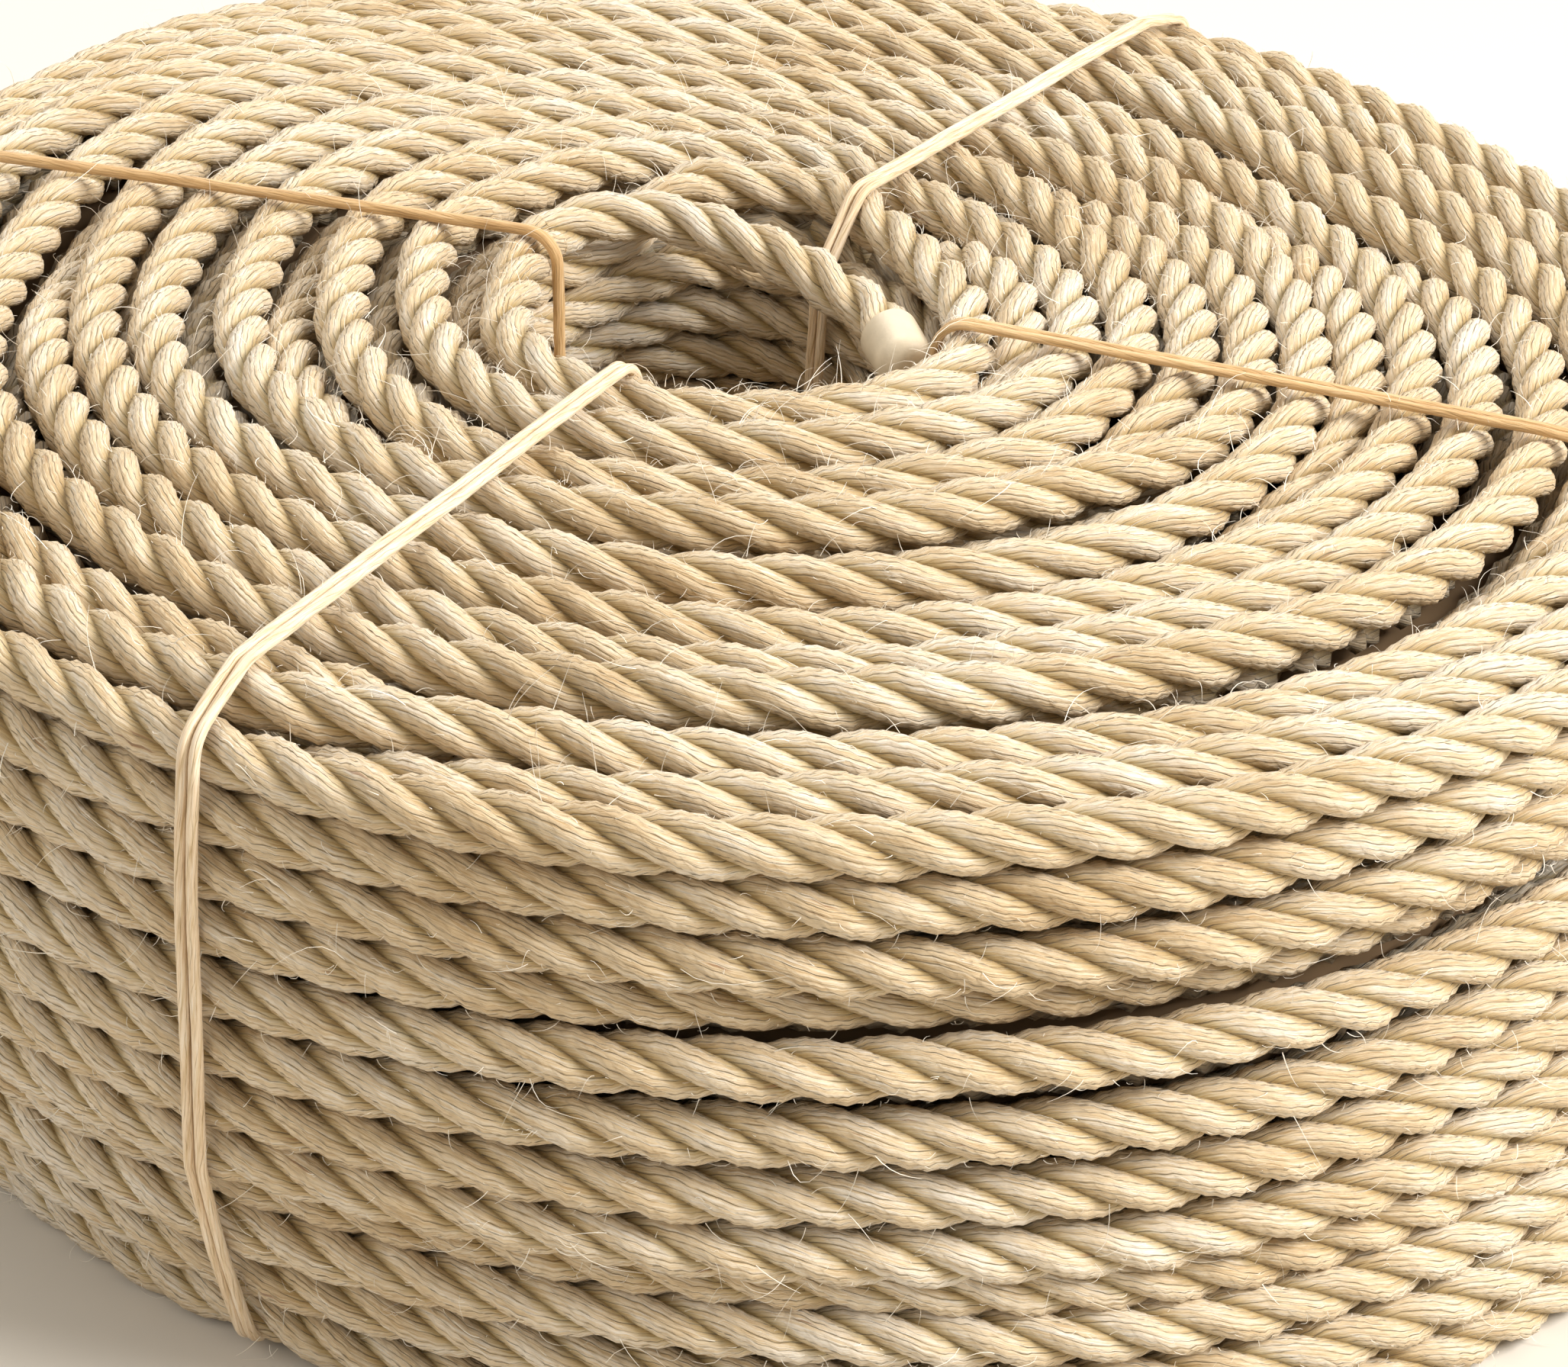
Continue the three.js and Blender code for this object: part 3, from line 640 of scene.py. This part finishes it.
class Nodes:
    """Short hand for building a material's nodes."""

    def __init__(self, name):
        self.material = bpy.data.materials.new(name)
        self.material.use_nodes = True
        self.tree = self.material.node_tree
        self.shader = self.tree.nodes["Principled BSDF"]

    def plug(self, socket, value):
        """Links a socket to an output, or sets it to a plain value."""
        if isinstance(value, bpy.types.NodeSocket):
            self.tree.links.new(value, socket)
        else:
            socket.default_value = value

    def add(self, kind, inputs=None, **settings):
        """A new node with its settings, and with its inputs linked or set."""
        node = self.tree.nodes.new(kind)
        for key, value in settings.items():
            setattr(node, key, value)
        for key, value in (inputs or {}).items():
            self.plug(node.inputs[key], value)
        return node

    def math(self, operation, a, b=0.0, c=0.0):
        return self.add("ShaderNodeMath", {0: a, 1: b, 2: c}, operation=operation).outputs[0]

    def about_half(self, pattern, weight, onto):
        """Adds a pattern's swing about one half, times a weight, onto a value."""
        return self.math("MULTIPLY_ADD", self.math("SUBTRACT", pattern, 0.5), weight, onto)

    def noise(self, vector, scale, detail, rough):
        inputs = {"Vector": vector, "Scale": scale, "Detail": detail, "Roughness": rough}
        return self.add("ShaderNodeTexNoise", inputs).outputs["Fac"]

    def stretched(self, vector, along, across, detail, rough):
        """Noise with its own scales along and across the yarns."""
        scale = (along, across, 1.0)
        vector = self.add("ShaderNodeMapping", {"Vector": vector, "Scale": scale}).outputs["Vector"]
        return self.noise(vector, 1.0, detail, rough)

    def span(self, value, low, high, to_low=0.0, to_high=1.0):
        """Maps low to high onto another range, and holds it there."""
        inputs = {
            "Value": value,
            "From Min": low,
            "From Max": high,
            "To Min": to_low,
            "To Max": to_high,
        }
        return self.add("ShaderNodeMapRange", inputs, clamp=True).outputs["Result"]

    def rgb(self, red, green, blue):
        return self.add("ShaderNodeCombineColor", {0: red, 1: green, 2: blue}).outputs[0]

    def mix(self, factor, a, b, blend="MIX"):
        inputs = {0: factor, 6: a, 7: b}
        return self.add("ShaderNodeMix", inputs, data_type="RGBA", blend_type=blend).outputs[2]

    def surface(self, tint, height, depth_mm, strength, settings):
        """Gives the shader its colour, its relief and its plain settings."""
        relief = {"Height": height, "Distance": depth_mm * MM, "Strength": strength}
        bump = self.add("ShaderNodeBump", relief)
        inputs = {"Base Color": tint, "Normal": bump.outputs["Normal"], **settings}
        for key, value in inputs.items():
            self.plug(self.shader.inputs[key], value)
        return self.material


def colour(rgb):
    return (*rgb, 1.0)


def jute(name, shades, yarn_mm, depth_mm, flecks=True, valley_shade=0.40):
    """Laid natural fibre: yarns round each strand, fine fibres along them."""
    light, mid, dark = shades
    n = Nodes(name)
    uv = n.add("ShaderNodeUVMap", uv_map="yarn").outputs["UV"]
    groove = n.add("ShaderNodeAttribute", attribute_name="groove").outputs["Fac"]
    tone = n.add("ShaderNodeAttribute", attribute_name="tone").outputs["Fac"]
    place = n.add("ShaderNodeTexCoord").outputs["Object"]
    v = n.add("ShaderNodeSeparateXYZ", {0: uv}).outputs["Y"]
    # yarns side by side, each a rounded ridge
    wander = n.stretched(uv, 0.9, 1.6, 2.0, 0.5)
    turns = n.math("MULTIPLY", n.about_half(wander, 0.30, v), MAP_MM / yarn_mm)
    wave = n.math("ABSOLUTE", n.math("SINE", n.math("MULTIPLY", turns, math.pi)))
    ridge = n.math("POWER", wave, 0.4)
    yarn = n.add("ShaderNodeTexWhiteNoise", {"W": n.math("FLOOR", turns)}, noise_dimensions="1D")
    # fibres, from coarse to fine, and broader patches
    fibre = n.stretched(uv, 1.1, 22.0, 4.0, 0.65)
    hair = n.stretched(uv, 2.6, 60.0, 3.0, 0.65)
    length = n.stretched(uv, 0.5, 2.6, 2.0, 0.5)
    patch = n.noise(place, 22.0, 3.0, 0.55)
    dashes = n.stretched(uv, 1.6, 12.0, 2.0, 0.5)
    # colour
    tint = 0.5
    weights = (1.25, 0.9, 0.55, 0.7, 0.12, 0.10)
    for pattern, weight in zip((fibre, hair, length, patch, yarn.outputs["Value"], tone), weights):
        tint = n.about_half(pattern, weight, tint)
    ramp = n.add("ShaderNodeValToRGB", {"Fac": tint})
    ramp.color_ramp.elements[0].color = colour(dark)
    ramp.color_ramp.elements[0].position = 0.08
    ramp.color_ramp.elements[1].color = colour(light)
    ramp.color_ramp.elements[1].position = 0.82
    ramp.color_ramp.elements.new(0.46).color = colour(mid)
    # painted shade: narrow lines between yarns, broken into dashes, and shade deepening towards the
    # grooves between strands
    line = n.math("MULTIPLY", n.span(wave, 0.0, 0.30, 1.0, 0.0), n.span(dashes, 0.44, 0.60))
    yarn_gap_shade = n.span(line, 0.0, 1.0, 1.0, 0.62)
    shade = n.math("MULTIPLY", yarn_gap_shade, n.span(groove, 0.62, 1.0, 1.0, valley_shade))
    painted_shade = n.rgb(n.math("POWER", shade, 0.8), shade, n.math("POWER", shade, 1.7))
    base = n.mix(1.0, ramp.outputs["Color"], painted_shade, "MULTIPLY")
    if flecks:
        bits = n.stretched(uv, 1.1, 14.0, 1.0, 0.4)
        scarce = n.noise(place, 55.0, 1.0, 0.4)
        spot = n.math("MULTIPLY", n.span(bits, 0.70, 0.76), n.span(scarce, 0.56, 0.62))
        base = n.mix(n.math("MULTIPLY", spot, 0.75), base, colour(FLECK))
    # relief
    height = n.math("MULTIPLY_ADD", fibre, 0.8, n.math("MULTIPLY", ridge, 0.55))
    height = n.math("MULTIPLY_ADD", hair, 0.35, height)
    height = n.math("MULTIPLY_ADD", line, -0.4, height)
    return n.surface(base, height, depth_mm, 1.0, {
        "Roughness": 0.62,
        "Specular IOR Level": 0.45,
        "Sheen Weight": 0.3,
        "Sheen Roughness": 0.5,
        "Sheen Tint": colour(SHEEN),
    })


def plain(name, rgb, roughness, sheen=0.0):
    """Smooth stuff with a soft mottle and a fine grain."""
    n = Nodes(name)
    place = n.add("ShaderNodeTexCoord").outputs["Object"]
    soft = n.noise(place, 140.0, 3.0, 0.5)
    fine = n.noise(place, 900.0, 2.0, 0.5)
    shade = n.span(soft, 0.3, 0.7, 0.88, 1.06)
    tint = n.mix(1.0, colour(rgb), n.rgb(shade, shade, shade), "MULTIPLY")
    height = n.math("MULTIPLY_ADD", fine, 0.3, soft)
    return n.surface(tint, height, 0.4, 0.5, {"Roughness": roughness, "Sheen Weight": sheen})


def flat(name, rgb, roughness):
    """A plain colour, for the floor and for the ring behind the turns, whose dark brown is painted
    shade.
    """
    n = Nodes(name)
    n.shader.inputs["Base Color"].default_value = colour(rgb)
    n.shader.inputs["Roughness"].default_value = roughness
    return n.material


def finish_of(key):
    """The material of that name, made when it is first asked for."""
    label = "finish_" + key
    found = bpy.data.materials.get(label)
    if found:
        return found
    s = sizes()
    shades = (s.rope_light, s.rope_mid, s.rope_dark)
    if key == "jute_rope":
        return jute(label, shades, s.yarn, 0.5)
    # the turns seen only in the gaps: the rope's colours darkened, painted shade
    if key == "jute_inner_shaded":
        gap_shades = [tuple(c * GAP_SHADE_SHARE for c in rgb) for rgb in shades]
        return jute(label, gap_shades, s.yarn, 0.55, False)
    if key == "tie_straw":
        return jute(label, STRAW, 0.7, 0.12, False, 0.85)
    if key == "tie_tan":
        return jute(label, TAN, 0.6, 0.12, False, 0.85)
    if key == "end_seal":
        return plain(label, s.seal_colour, 0.5)
    if key == "stray_fibre":
        return plain(label, s.fibre_colour, 0.7, 0.3)
    raise RuntimeError("no finish named " + key)


# Sizes and colours

def rgb_property(name, description, default):
    return bpy.props.FloatVectorProperty(
        name=name, description=description, default=default, size=3, min=0, max=1, subtype="COLOR"
    )


def mm_property(name, description, default, low, high):
    return bpy.props.FloatProperty(
        name=name, description=description + ", in mm", default=default, min=low, max=high
    )


class RopeCoilSizes(bpy.types.PropertyGroup):
    """Sizes and colours of the coil that a user would change."""

    lay: mm_property("Lay", "Rope length for one turn of its strands", 35.5, 20, 80)
    step: mm_property("Ring step", "Distance between sections of the rope", 3.0, 1, 8)
    yarn: mm_property("Yarn width", "Width of one yarn of a strand", 1.2, 0.5, 4)
    fibres: bpy.props.IntProperty(
        name="Stray fibres", description="Number of fibres that stand off the rope",
        default=4000, min=0, max=20000,
    )
    rope_light: rgb_property("Rope light", "Palest fibre", (0.88, 0.79, 0.66))
    rope_mid: rgb_property("Rope middle", "Usual fibre", (0.74, 0.57, 0.35))
    rope_dark: rgb_property("Rope dark", "Darkest fibre", (0.48, 0.30, 0.125))
    seal_colour: rgb_property("Seal", "Sealed tip", (0.72, 0.61, 0.44))
    fibre_colour: rgb_property("Fibre", "Stray fibres", (0.93, 0.87, 0.75))
    floor_colour: rgb_property("Floor", "Plain floor", (0.70, 0.655, 0.58))


# Steps

class ROPECOIL_OT_stage(bpy.types.Operator):
    """Lays the plain floor and sets the light and the camera"""

    bl_idname = "ropecoil.stage"
    bl_label = "Stage, light and camera"

    def execute(self, context):
        self.floor(context)
        self.sky(context)
        for lamp in LIGHTS:
            self.area(context, *lamp)
        self.camera(context)
        context.scene.view_settings.view_transform = "Standard"
        return {"FINISHED"}

    def floor(self, context):
        bpy.ops.object.select_all(action="DESELECT")
        bpy.ops.mesh.primitive_plane_add(size=FLOOR_SIZE, location=(0, 0, 0))
        floor = context.active_object
        floor.name = "floor"
        floor.data.materials.append(flat("floor_paper", sizes().floor_colour, 0.9))

    def sky(self, context):
        world = bpy.data.worlds.new("studio")
        context.scene.world = world
        world.use_nodes = True
        background = world.node_tree.nodes["Background"]
        background.inputs["Color"].default_value = colour(SKY_COLOUR)
        background.inputs["Strength"].default_value = SKY_STRENGTH

    def area(self, context, name, place, size, power, tint):
        data = bpy.data.lights.new(name, "AREA")
        data.shape = "DISK"
        data.size = size
        data.energy = power
        data.color = tint
        lamp = bpy.data.objects.new(name, data)
        context.scene.collection.objects.link(lamp)
        lamp.location = place
        aim = Vector(LIGHT_AIM) - Vector(place)
        lamp.rotation_euler = aim.to_track_quat("-Z", "Y").to_euler()

    def camera(self, context):
        yaw, pitch, roll = (math.radians(a) for a in (CAMERA_YAW, CAMERA_PITCH, CAMERA_ROLL))
        level = math.cos(pitch)
        forward = Vector((math.sin(yaw) * level, math.cos(yaw) * level, -math.sin(pitch)))
        right = Vector((math.cos(yaw), -math.sin(yaw), 0))
        up = right.cross(forward)
        right_rolled = right * math.cos(roll) + up * math.sin(roll)
        up_rolled = up * math.cos(roll) - right * math.sin(roll)
        data = bpy.data.cameras.new("camera")
        data.lens = CAMERA_LENS
        data.sensor_width = SENSOR_WIDTH
        data.sensor_fit = "HORIZONTAL"
        data.clip_end = CLIP_END
        camera = bpy.data.objects.new("camera", data)
        context.scene.collection.objects.link(camera)
        turn = Matrix((right_rolled, up_rolled, -forward)).transposed().to_4x4()
        place = Vector((CAMERA_AT[0] + AXIS_X, CAMERA_AT[1] + AXIS_Y, CAMERA_AT[2])) * MM
        camera.matrix_world = Matrix.Translation(place) @ turn
        context.scene.camera = camera


class ROPECOIL_OT_loose_end(bpy.types.Operator):
    """Lays the rope's inner end in the eye, with its sealed tip"""

    bl_idname = "ropecoil.loose_end"
    bl_label = "Loose end and seal"

    def execute(self, context):
        path = loose_path()
        length = float(np.sum(np.linalg.norm(np.diff(path, axis=0), axis=1)))
        rope = Laid()
        lay_path(rope, path[::-1], SEED_LOOSE, closed=False, start=-length)
        piece = rope.piece("loose_rope", finish_of("jute_rope"), "jute_rope", "loose_end")
        seal = self.seal(context, path)
        return {"FINISHED"}

    def seal(self, context, path):
        """A short cylinder with a rounded tip and a slightly uneven wall."""
        bpy.ops.object.select_all(action="DESELECT")
        bpy.ops.mesh.primitive_cylinder_add(vertices=40, radius=SEAL_D / 2 * MM, depth=SEAL_L * MM)
        seal = context.active_object
        seal.name = "sealed_tip"
        bpy.ops.object.mode_set(mode="EDIT")
        bpy.ops.mesh.select_all(action="DESELECT")
        bpy.ops.object.mode_set(mode="OBJECT")
        for face in seal.data.polygons:
            face.select = face.normal.z > 0.9
        bpy.ops.object.mode_set(mode="EDIT")
        bpy.ops.mesh.bevel(offset=SEAL_ROUND * MM, segments=7, profile=0.5)
        bpy.ops.mesh.select_all(action="SELECT")
        bpy.ops.object.mode_set(mode="OBJECT")
        for vertex in seal.data.vertices:
            x, y, z = (c / MM for c in vertex.co)
            a = math.atan2(y, x)
            swell = 1 + 0.018 * math.sin(3 * a + 0.5 * z) + 0.012 * math.sin(2 * a - 0.9 * z + 1)
            vertex.co.x *= swell
            vertex.co.y *= swell
        along = Vector(path[-1] - path[-2]).normalized()
        turn = along.to_track_quat("Z", "Y").to_matrix().to_4x4()
        middle = Vector(path[-1]) * MM + along * (SEAL_L / 2 - SEAL_BACK) * MM
        seal.data.transform(Matrix.Translation(middle) @ turn)
        seal.data.materials.append(finish_of("end_seal"))
        select_only(seal)
        bpy.ops.object.shade_smooth_by_angle(angle=math.radians(SEAL_SMOOTH))
        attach(seal, "root")
        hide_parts("end_seal")
        return seal


class ROPECOIL_OT_top_turns(bpy.types.Operator):
    """Lays the turns that show on top"""

    bl_idname = "ropecoil.top_turns"
    bl_label = "Top turns"

    def execute(self, context):
        rope = Laid()
        lay_path(rope, inmost_path(), SEED_INMOST, closed=False)
        lay_turns(rope, "top", range(1, TOP_SPLIT))
        coil_piece(rope, "top_turns_inner")
        rope = Laid()
        lay_turns(rope, "top", range(TOP_SPLIT, len(TOP_TURNS)))
        lay_turns(rope, "rim", range(len(RIM_TURNS)))
        coil_piece(rope, "top_turns_outer")
        return {"FINISHED"}


class ROPECOIL_OT_side_turns(bpy.types.Operator):
    """Lays the turns of the outer side"""

    bl_idname = "ropecoil.side_turns"
    bl_label = "Side turns"

    def execute(self, context):
        upper = range(SIDE_SPLIT)
        lower = range(SIDE_SPLIT, len(SIDE_TURNS))
        for name, rows in (("side_turns_upper", upper), ("side_turns_lower", lower)):
            rope = Laid()
            lay_turns(rope, "side", rows)
            coil_piece(rope, name)
        return {"FINISHED"}


class ROPECOIL_OT_eye_turns(bpy.types.Operator):
    """Lays the turns of the eye's wall"""

    bl_idname = "ropecoil.eye_turns"
    bl_label = "Eye turns"

    def execute(self, context):
        rope = Laid()
        lay_turns(rope, "eye", range(len(EYE_TURNS)))
        coil_piece(rope, "eye_turns")
        return {"FINISHED"}


class ROPECOIL_OT_under_turns(bpy.types.Operator):
    """Lays the turns of the underside"""

    bl_idname = "ropecoil.under_turns"
    bl_label = "Underside turns"

    def execute(self, context):
        rope = Laid()
        for i in range(1, UNDER_TURNS):
            share = i / UNDER_TURNS
            seed = SEEDS["under"] + i
            azimuth = even_azimuths(UNDER_FROM + UNDER_WIDTH * share, UNDER_STEP)
            inner, _ = turn_line("eye", len(EYE_TURNS) - 1, azimuth)
            outer, _ = turn_line("side", len(SIDE_TURNS) - 1, azimuth)
            r = inner + (outer - inner) * share + drift(azimuth, seed, UNDER_WANDER)
            z = ROPE_R + UNDER_CLEAR + TIE_LIFT * near_ties(azimuth, r)
            lay_path(rope, to_points(azimuth, r, z), seed, per=UNDER_POINTS)
        coil_piece(rope, "under_turns")
        return {"FINISHED"}


class ROPECOIL_OT_inner_turns(bpy.types.Operator):
    """Lays the second layer that shows in the gaps, darkened as painted shade, and the dark body behind
    it
    """

    bl_idname = "ropecoil.inner_turns"
    bl_label = "Inner turns"

    def execute(self, context):
        turns = outer_turns()
        rope = Laid()
        for i, (here, after) in enumerate(zip(turns, turns[1:])):
            azimuth = even_azimuths(INNER_RADIUS[here[0]], INNER_STEP)
            r0, z0 = turn_line(here[0], here[1], azimuth)
            r1, z1 = turn_line(after[0], after[1], azimuth)
            facing = math.radians((here[2] + after[2]) / 2)
            half = np.hypot(r1 - r0, z1 - z0) / 2
            sink = np.sqrt(np.maximum(ROPE_D**2 - half**2, LEAST_SINK))
            r = (r0 + r1) / 2 - sink * math.cos(facing)
            z = (z0 + z1) / 2 - sink * math.sin(facing)
            lay_path(rope, to_points(azimuth, r, z), SEEDS["inner"] + i, per=INNER_POINTS)
        coil_piece(rope, "inner_turns", "jute_inner_shaded")
        self.core()
        return {"FINISHED"}

    def core(self):
        """A plain ring inside the turns, so that no gap shows light through; its dark brown is painted
        shade.
        """
        azimuth = np.arange(CORE_SIDES) * (360 / CORE_SIDES) - 180
        lines = []
        for kind, index, facing in outer_turns():
            r, z = turn_line(kind, index, azimuth)
            face = math.radians(facing)
            lines.append((r - CORE_SINK * math.cos(face), z - CORE_SINK * math.sin(face)))
        r, z = (np.array(part).T for part in zip(*lines))
        r = np.clip(r, CORE_EYE, None)
        z = np.clip(z, CORE_LOW, CORE_HIGH)
        first = len(EYE_TURNS)
        last = len(lines) - len(SIDE_TURNS)
        for row in r:
            row[first:last] = np.clip(row[first:last], CORE_EYE, np.max(row[last:]))
        a = np.radians(azimuth)[:, None]
        points = np.stack([r * np.cos(a) + AXIS_X, r * np.sin(a) + AXIS_Y, z], axis=2)
        quads = ring_quads(CORE_SIDES, len(lines), CORE_SIDES)
        mesh = bpy.data.meshes.new("core")
        mesh.from_pydata((points.reshape(-1, 3) * MM).tolist(), [], quads.tolist())
        piece = show(mesh, "core", flat("core_shade", CORE_SHADE_COLOUR, 1.0), ("coil",))
        select_only(piece)
        bpy.ops.object.mode_set(mode="EDIT")
        bpy.ops.mesh.select_all(action="SELECT")
        bpy.ops.mesh.remove_doubles(threshold=0.1 * MM)
        bpy.ops.mesh.normals_make_consistent(inside=False)
        bpy.ops.object.mode_set(mode="OBJECT")


def turns_left(a, b, c):
    """Above 0 where the way from a by b to c turns left."""
    return (b[0] - a[0]) * (c[1] - a[1]) - (b[1] - a[1]) * (c[0] - a[0])


def hull_of(points):
    """Convex hull, anticlockwise."""
    def half(points):
        chain = []
        for p in points:
            while len(chain) > 1 and turns_left(chain[-2], chain[-1], p) <= 1e-9:
                chain.pop()
            chain.append(p)
        return chain[:-1]

    points = sorted(points)
    return half(points) + half(points[::-1])


def tie_line(azimuth, aside, offset):
    """The line of a tight tie round the body, as [distance, height] in its plane."""
    centres = []
    for kind, i, _ in outer_turns():
        r = FIRST_GUESS
        for _ in range(3):
            at = azimuth + math.degrees(math.asin(aside / r))
            r, z = (float(x[0]) for x in turn_line(kind, i, np.array([at])))
        lift = TIE_LIFT if z < FLOOR_TURNS else 0
        centres.append((math.sqrt(r * r - aside * aside), z + lift))
    corners = hull_of(centres)
    reach = ROPE_R + offset
    out = []
    for i, p in enumerate(corners):
        before = corners[i - 1]
        after = corners[(i + 1) % len(corners)]
        a0 = math.atan2(p[1] - before[1], p[0] - before[0]) - math.pi / 2
        a1 = math.atan2(after[1] - p[1], after[0] - p[0]) - math.pi / 2
        if a1 < a0 - 1e-9:
            a1 += 2 * math.pi
        for a in np.linspace(a0, a1, max(2, int((a1 - a0) * reach / BEND_STEP) + 1)):
            out.append((p[0] + reach * math.cos(a), p[1] + reach * math.sin(a)))
    return np.array(out)


class ROPECOIL_OT_ties(bpy.types.Operator):
    """Ties the coil with twine"""

    bl_idname = "ropecoil.ties"
    bl_label = "Ties"

    def execute(self, context):
        for k, tie in enumerate(TIES):
            self.tie(k, *tie)
        return {"FINISHED"}

    def tie(self, k, node, azimuth, aside, twine, runs, finish):
        """One tie: its runs side by side, each swaying a little."""
        a = math.radians(azimuth)
        sideways = np.array([-math.sin(a), math.cos(a), 0.0])
        line = tie_line(azimuth, aside, twine / 2 + TWINE_CLEAR)
        loop = to_points(np.full(len(line), azimuth), line[:, 0], line[:, 1])
        loop = np.concatenate([loop, loop[:1]])
        loop = even_points(loop, TWINE_STEP)[:-1] + aside * sideways
        phase = np.arange(len(loop)) / len(loop) * 2 * math.pi
        side = np.broadcast_to(sideways, loop.shape).copy()
        rope = Laid()
        for run in range(runs):
            apart = (run - (runs - 1) / 2) * twine * RUN_SPACING
            sway = 0.12 * np.sin(5 * phase + k + run) + 0.08 * np.sin(11 * phase + 2 * k)
            rope.run(
                loop + (apart + sway)[:, None] * sideways[None, :],
                side,
                twine / 2,
                twine * TWINE_LAY,
                SEEDS["ties"] + 10 * k + run,
                per=TWINE_POINTS,
                swell=TWINE_SWELL,
                offset=TWINE_OFFSET,
            )
        rope.piece(node + "_twine", finish_of(finish), finish, node)


def fibre_roots(rng, total):
    """Where fibres are rooted on the turns that show, with the ways out and along the rope there."""
    turns = outer_turns()
    weights = np.array([FIBRE_SHARE[kind] / len(TABLES[kind][1]) for kind, _, _ in turns])
    chosen = rng.choice(len(turns), total, p=weights / weights.sum())
    azimuth = rng.uniform(-180, 180, total)
    faces = np.array([facing for _, _, facing in turns])[chosen]
    facing = np.radians(faces + rng.normal(0, FACING_SPREAD, total))
    r, z = np.zeros(total), np.zeros(total)
    for k, (kind, index, _) in enumerate(turns):
        mine = chosen == k
        r[mine], z[mine] = turn_line(kind, index, azimuth[mine])
    a = np.radians(azimuth)
    level = np.cos(facing)
    normal = np.stack([level * np.cos(a), level * np.sin(a), np.sin(facing)], axis=1)
    along = np.stack([-np.sin(a), np.cos(a), np.zeros(total)], axis=1)
    return to_points(azimuth, r, z) + normal * ROPE_R * ROOT_SHARE, normal, along


def fibre_lines(rng, base, normal, along, across, length, segments):
    """Points of each fibre, which rises from its root, lies over along the rope and curls."""
    total = len(base)
    sign = rng.choice([-1.0, 1.0], total)
    lie = rng.uniform(0.3, 2.4, total)
    bend = rng.normal(0, 1.0, total)
    curl = rng.normal(0, 0.5, total)
    lines = []
    for t in np.arange(segments + 1) / segments:
        rise = length * (0.8 * t - 0.42 * t * t * lie / 1.6)
        run = sign * length * lie * 0.42 * t * (0.6 + 0.4 * t)
        sway = length * (bend * 0.3 * t * t + curl * 0.25 * math.sin(3.0 * t))
        lines.append(base + normal * rise[:, None] + along * run[:, None] + across * sway[:, None])
    lines = np.stack(lines, axis=1)
    lines[:, :, 2] = np.maximum(lines[:, :, 2], FIBRE_LOWEST)
    return lines


def fibre_tubes(lines, across, thick):
    """Corners of a tapering tube round each fibre."""
    total, count, _ = lines.shape
    tangent = lines[:, -1] - lines[:, 0]
    tangent /= np.linalg.norm(tangent, axis=1)[:, None] + 1e-9
    e1 = np.cross(tangent, across)
    e1 /= np.linalg.norm(e1, axis=1)[:, None] + 1e-9
    e2 = np.cross(tangent, e1)
    tubes = np.empty((total, count, FIBRE_SIDES, 3))
    for s in range(count):
        radius = (thick * (1 - FIBRE_TAPER * s / (count - 1)))[:, None]
        for c in range(FIBRE_SIDES):
            a = 2 * math.pi * c / FIBRE_SIDES
            tubes[:, s, c] = lines[:, s] + radius * (math.cos(a) * e1 + math.sin(a) * e2)
    return tubes.reshape(-1, 3)


class ROPECOIL_OT_stray_fibres(bpy.types.Operator):
    """Scatters the fibres that stand off the rope"""

    bl_idname = "ropecoil.stray_fibres"
    bl_label = "Stray fibres"

    def execute(self, context):
        for name, number, *kind in FIBRES:
            self.scatter(name, int(sizes().fibres * number), *kind)
        return {"FINISHED"}

    def scatter(self, name, total, seed, spread, reach, segments, radii):
        """Makes one kind of fibre, rooted on the turns that show."""
        rng = np.random.default_rng(seed)
        base, normal, along = fibre_roots(rng, total)
        across = np.cross(normal, along)
        length = rng.gamma(*spread, total).clip(*reach)
        lines = fibre_lines(rng, base, normal, along, across, length, segments)
        points = fibre_tubes(lines, across, rng.uniform(*radii, total))
        block = ring_quads(segments, FIBRE_SIDES, segments + 1)
        starts = np.arange(total) * (segments + 1) * FIBRE_SIDES
        quads = (block[None] + starts[:, None, None]).reshape(-1, 4)
        mesh = bpy.data.meshes.new(name)
        mesh.from_pydata((points * MM).tolist(), [], quads.tolist())
        show(mesh, name, finish_of("stray_fibre"), ())


class ROPECOIL_PT_panel(bpy.types.Panel):
    """Steps and sizes of the coil"""

    bl_label = "Rope Coil"
    bl_idname = "ROPECOIL_PT_panel"
    bl_space_type = "VIEW_3D"
    bl_region_type = "UI"
    bl_category = "Rope Coil"

    def draw(self, context):
        for name in RopeCoilSizes.__annotations__:
            self.layout.prop(context.scene.rope_coil, name)
        for step in STEPS:
            self.layout.operator(step.bl_idname)


STEPS = (
    ROPECOIL_OT_stage,
    ROPECOIL_OT_loose_end,
    ROPECOIL_OT_top_turns,
    ROPECOIL_OT_side_turns,
    ROPECOIL_OT_eye_turns,
    ROPECOIL_OT_under_turns,
    ROPECOIL_OT_inner_turns,
    ROPECOIL_OT_ties,
    ROPECOIL_OT_stray_fibres,
)
CLASSES = (RopeCoilSizes, *STEPS, ROPECOIL_PT_panel)


def register():
    for cls in CLASSES:
        bpy.utils.register_class(cls)
    bpy.types.Scene.rope_coil = bpy.props.PointerProperty(type=RopeCoilSizes)


def unregister():
    del bpy.types.Scene.rope_coil
    for cls in reversed(CLASSES):
        bpy.utils.unregister_class(cls)


def main():
    register()
    for step in STEPS:
        group, name = step.bl_idname.split(".")
        getattr(getattr(bpy.ops, group), name)()


if __name__ == "__main__":
    main()
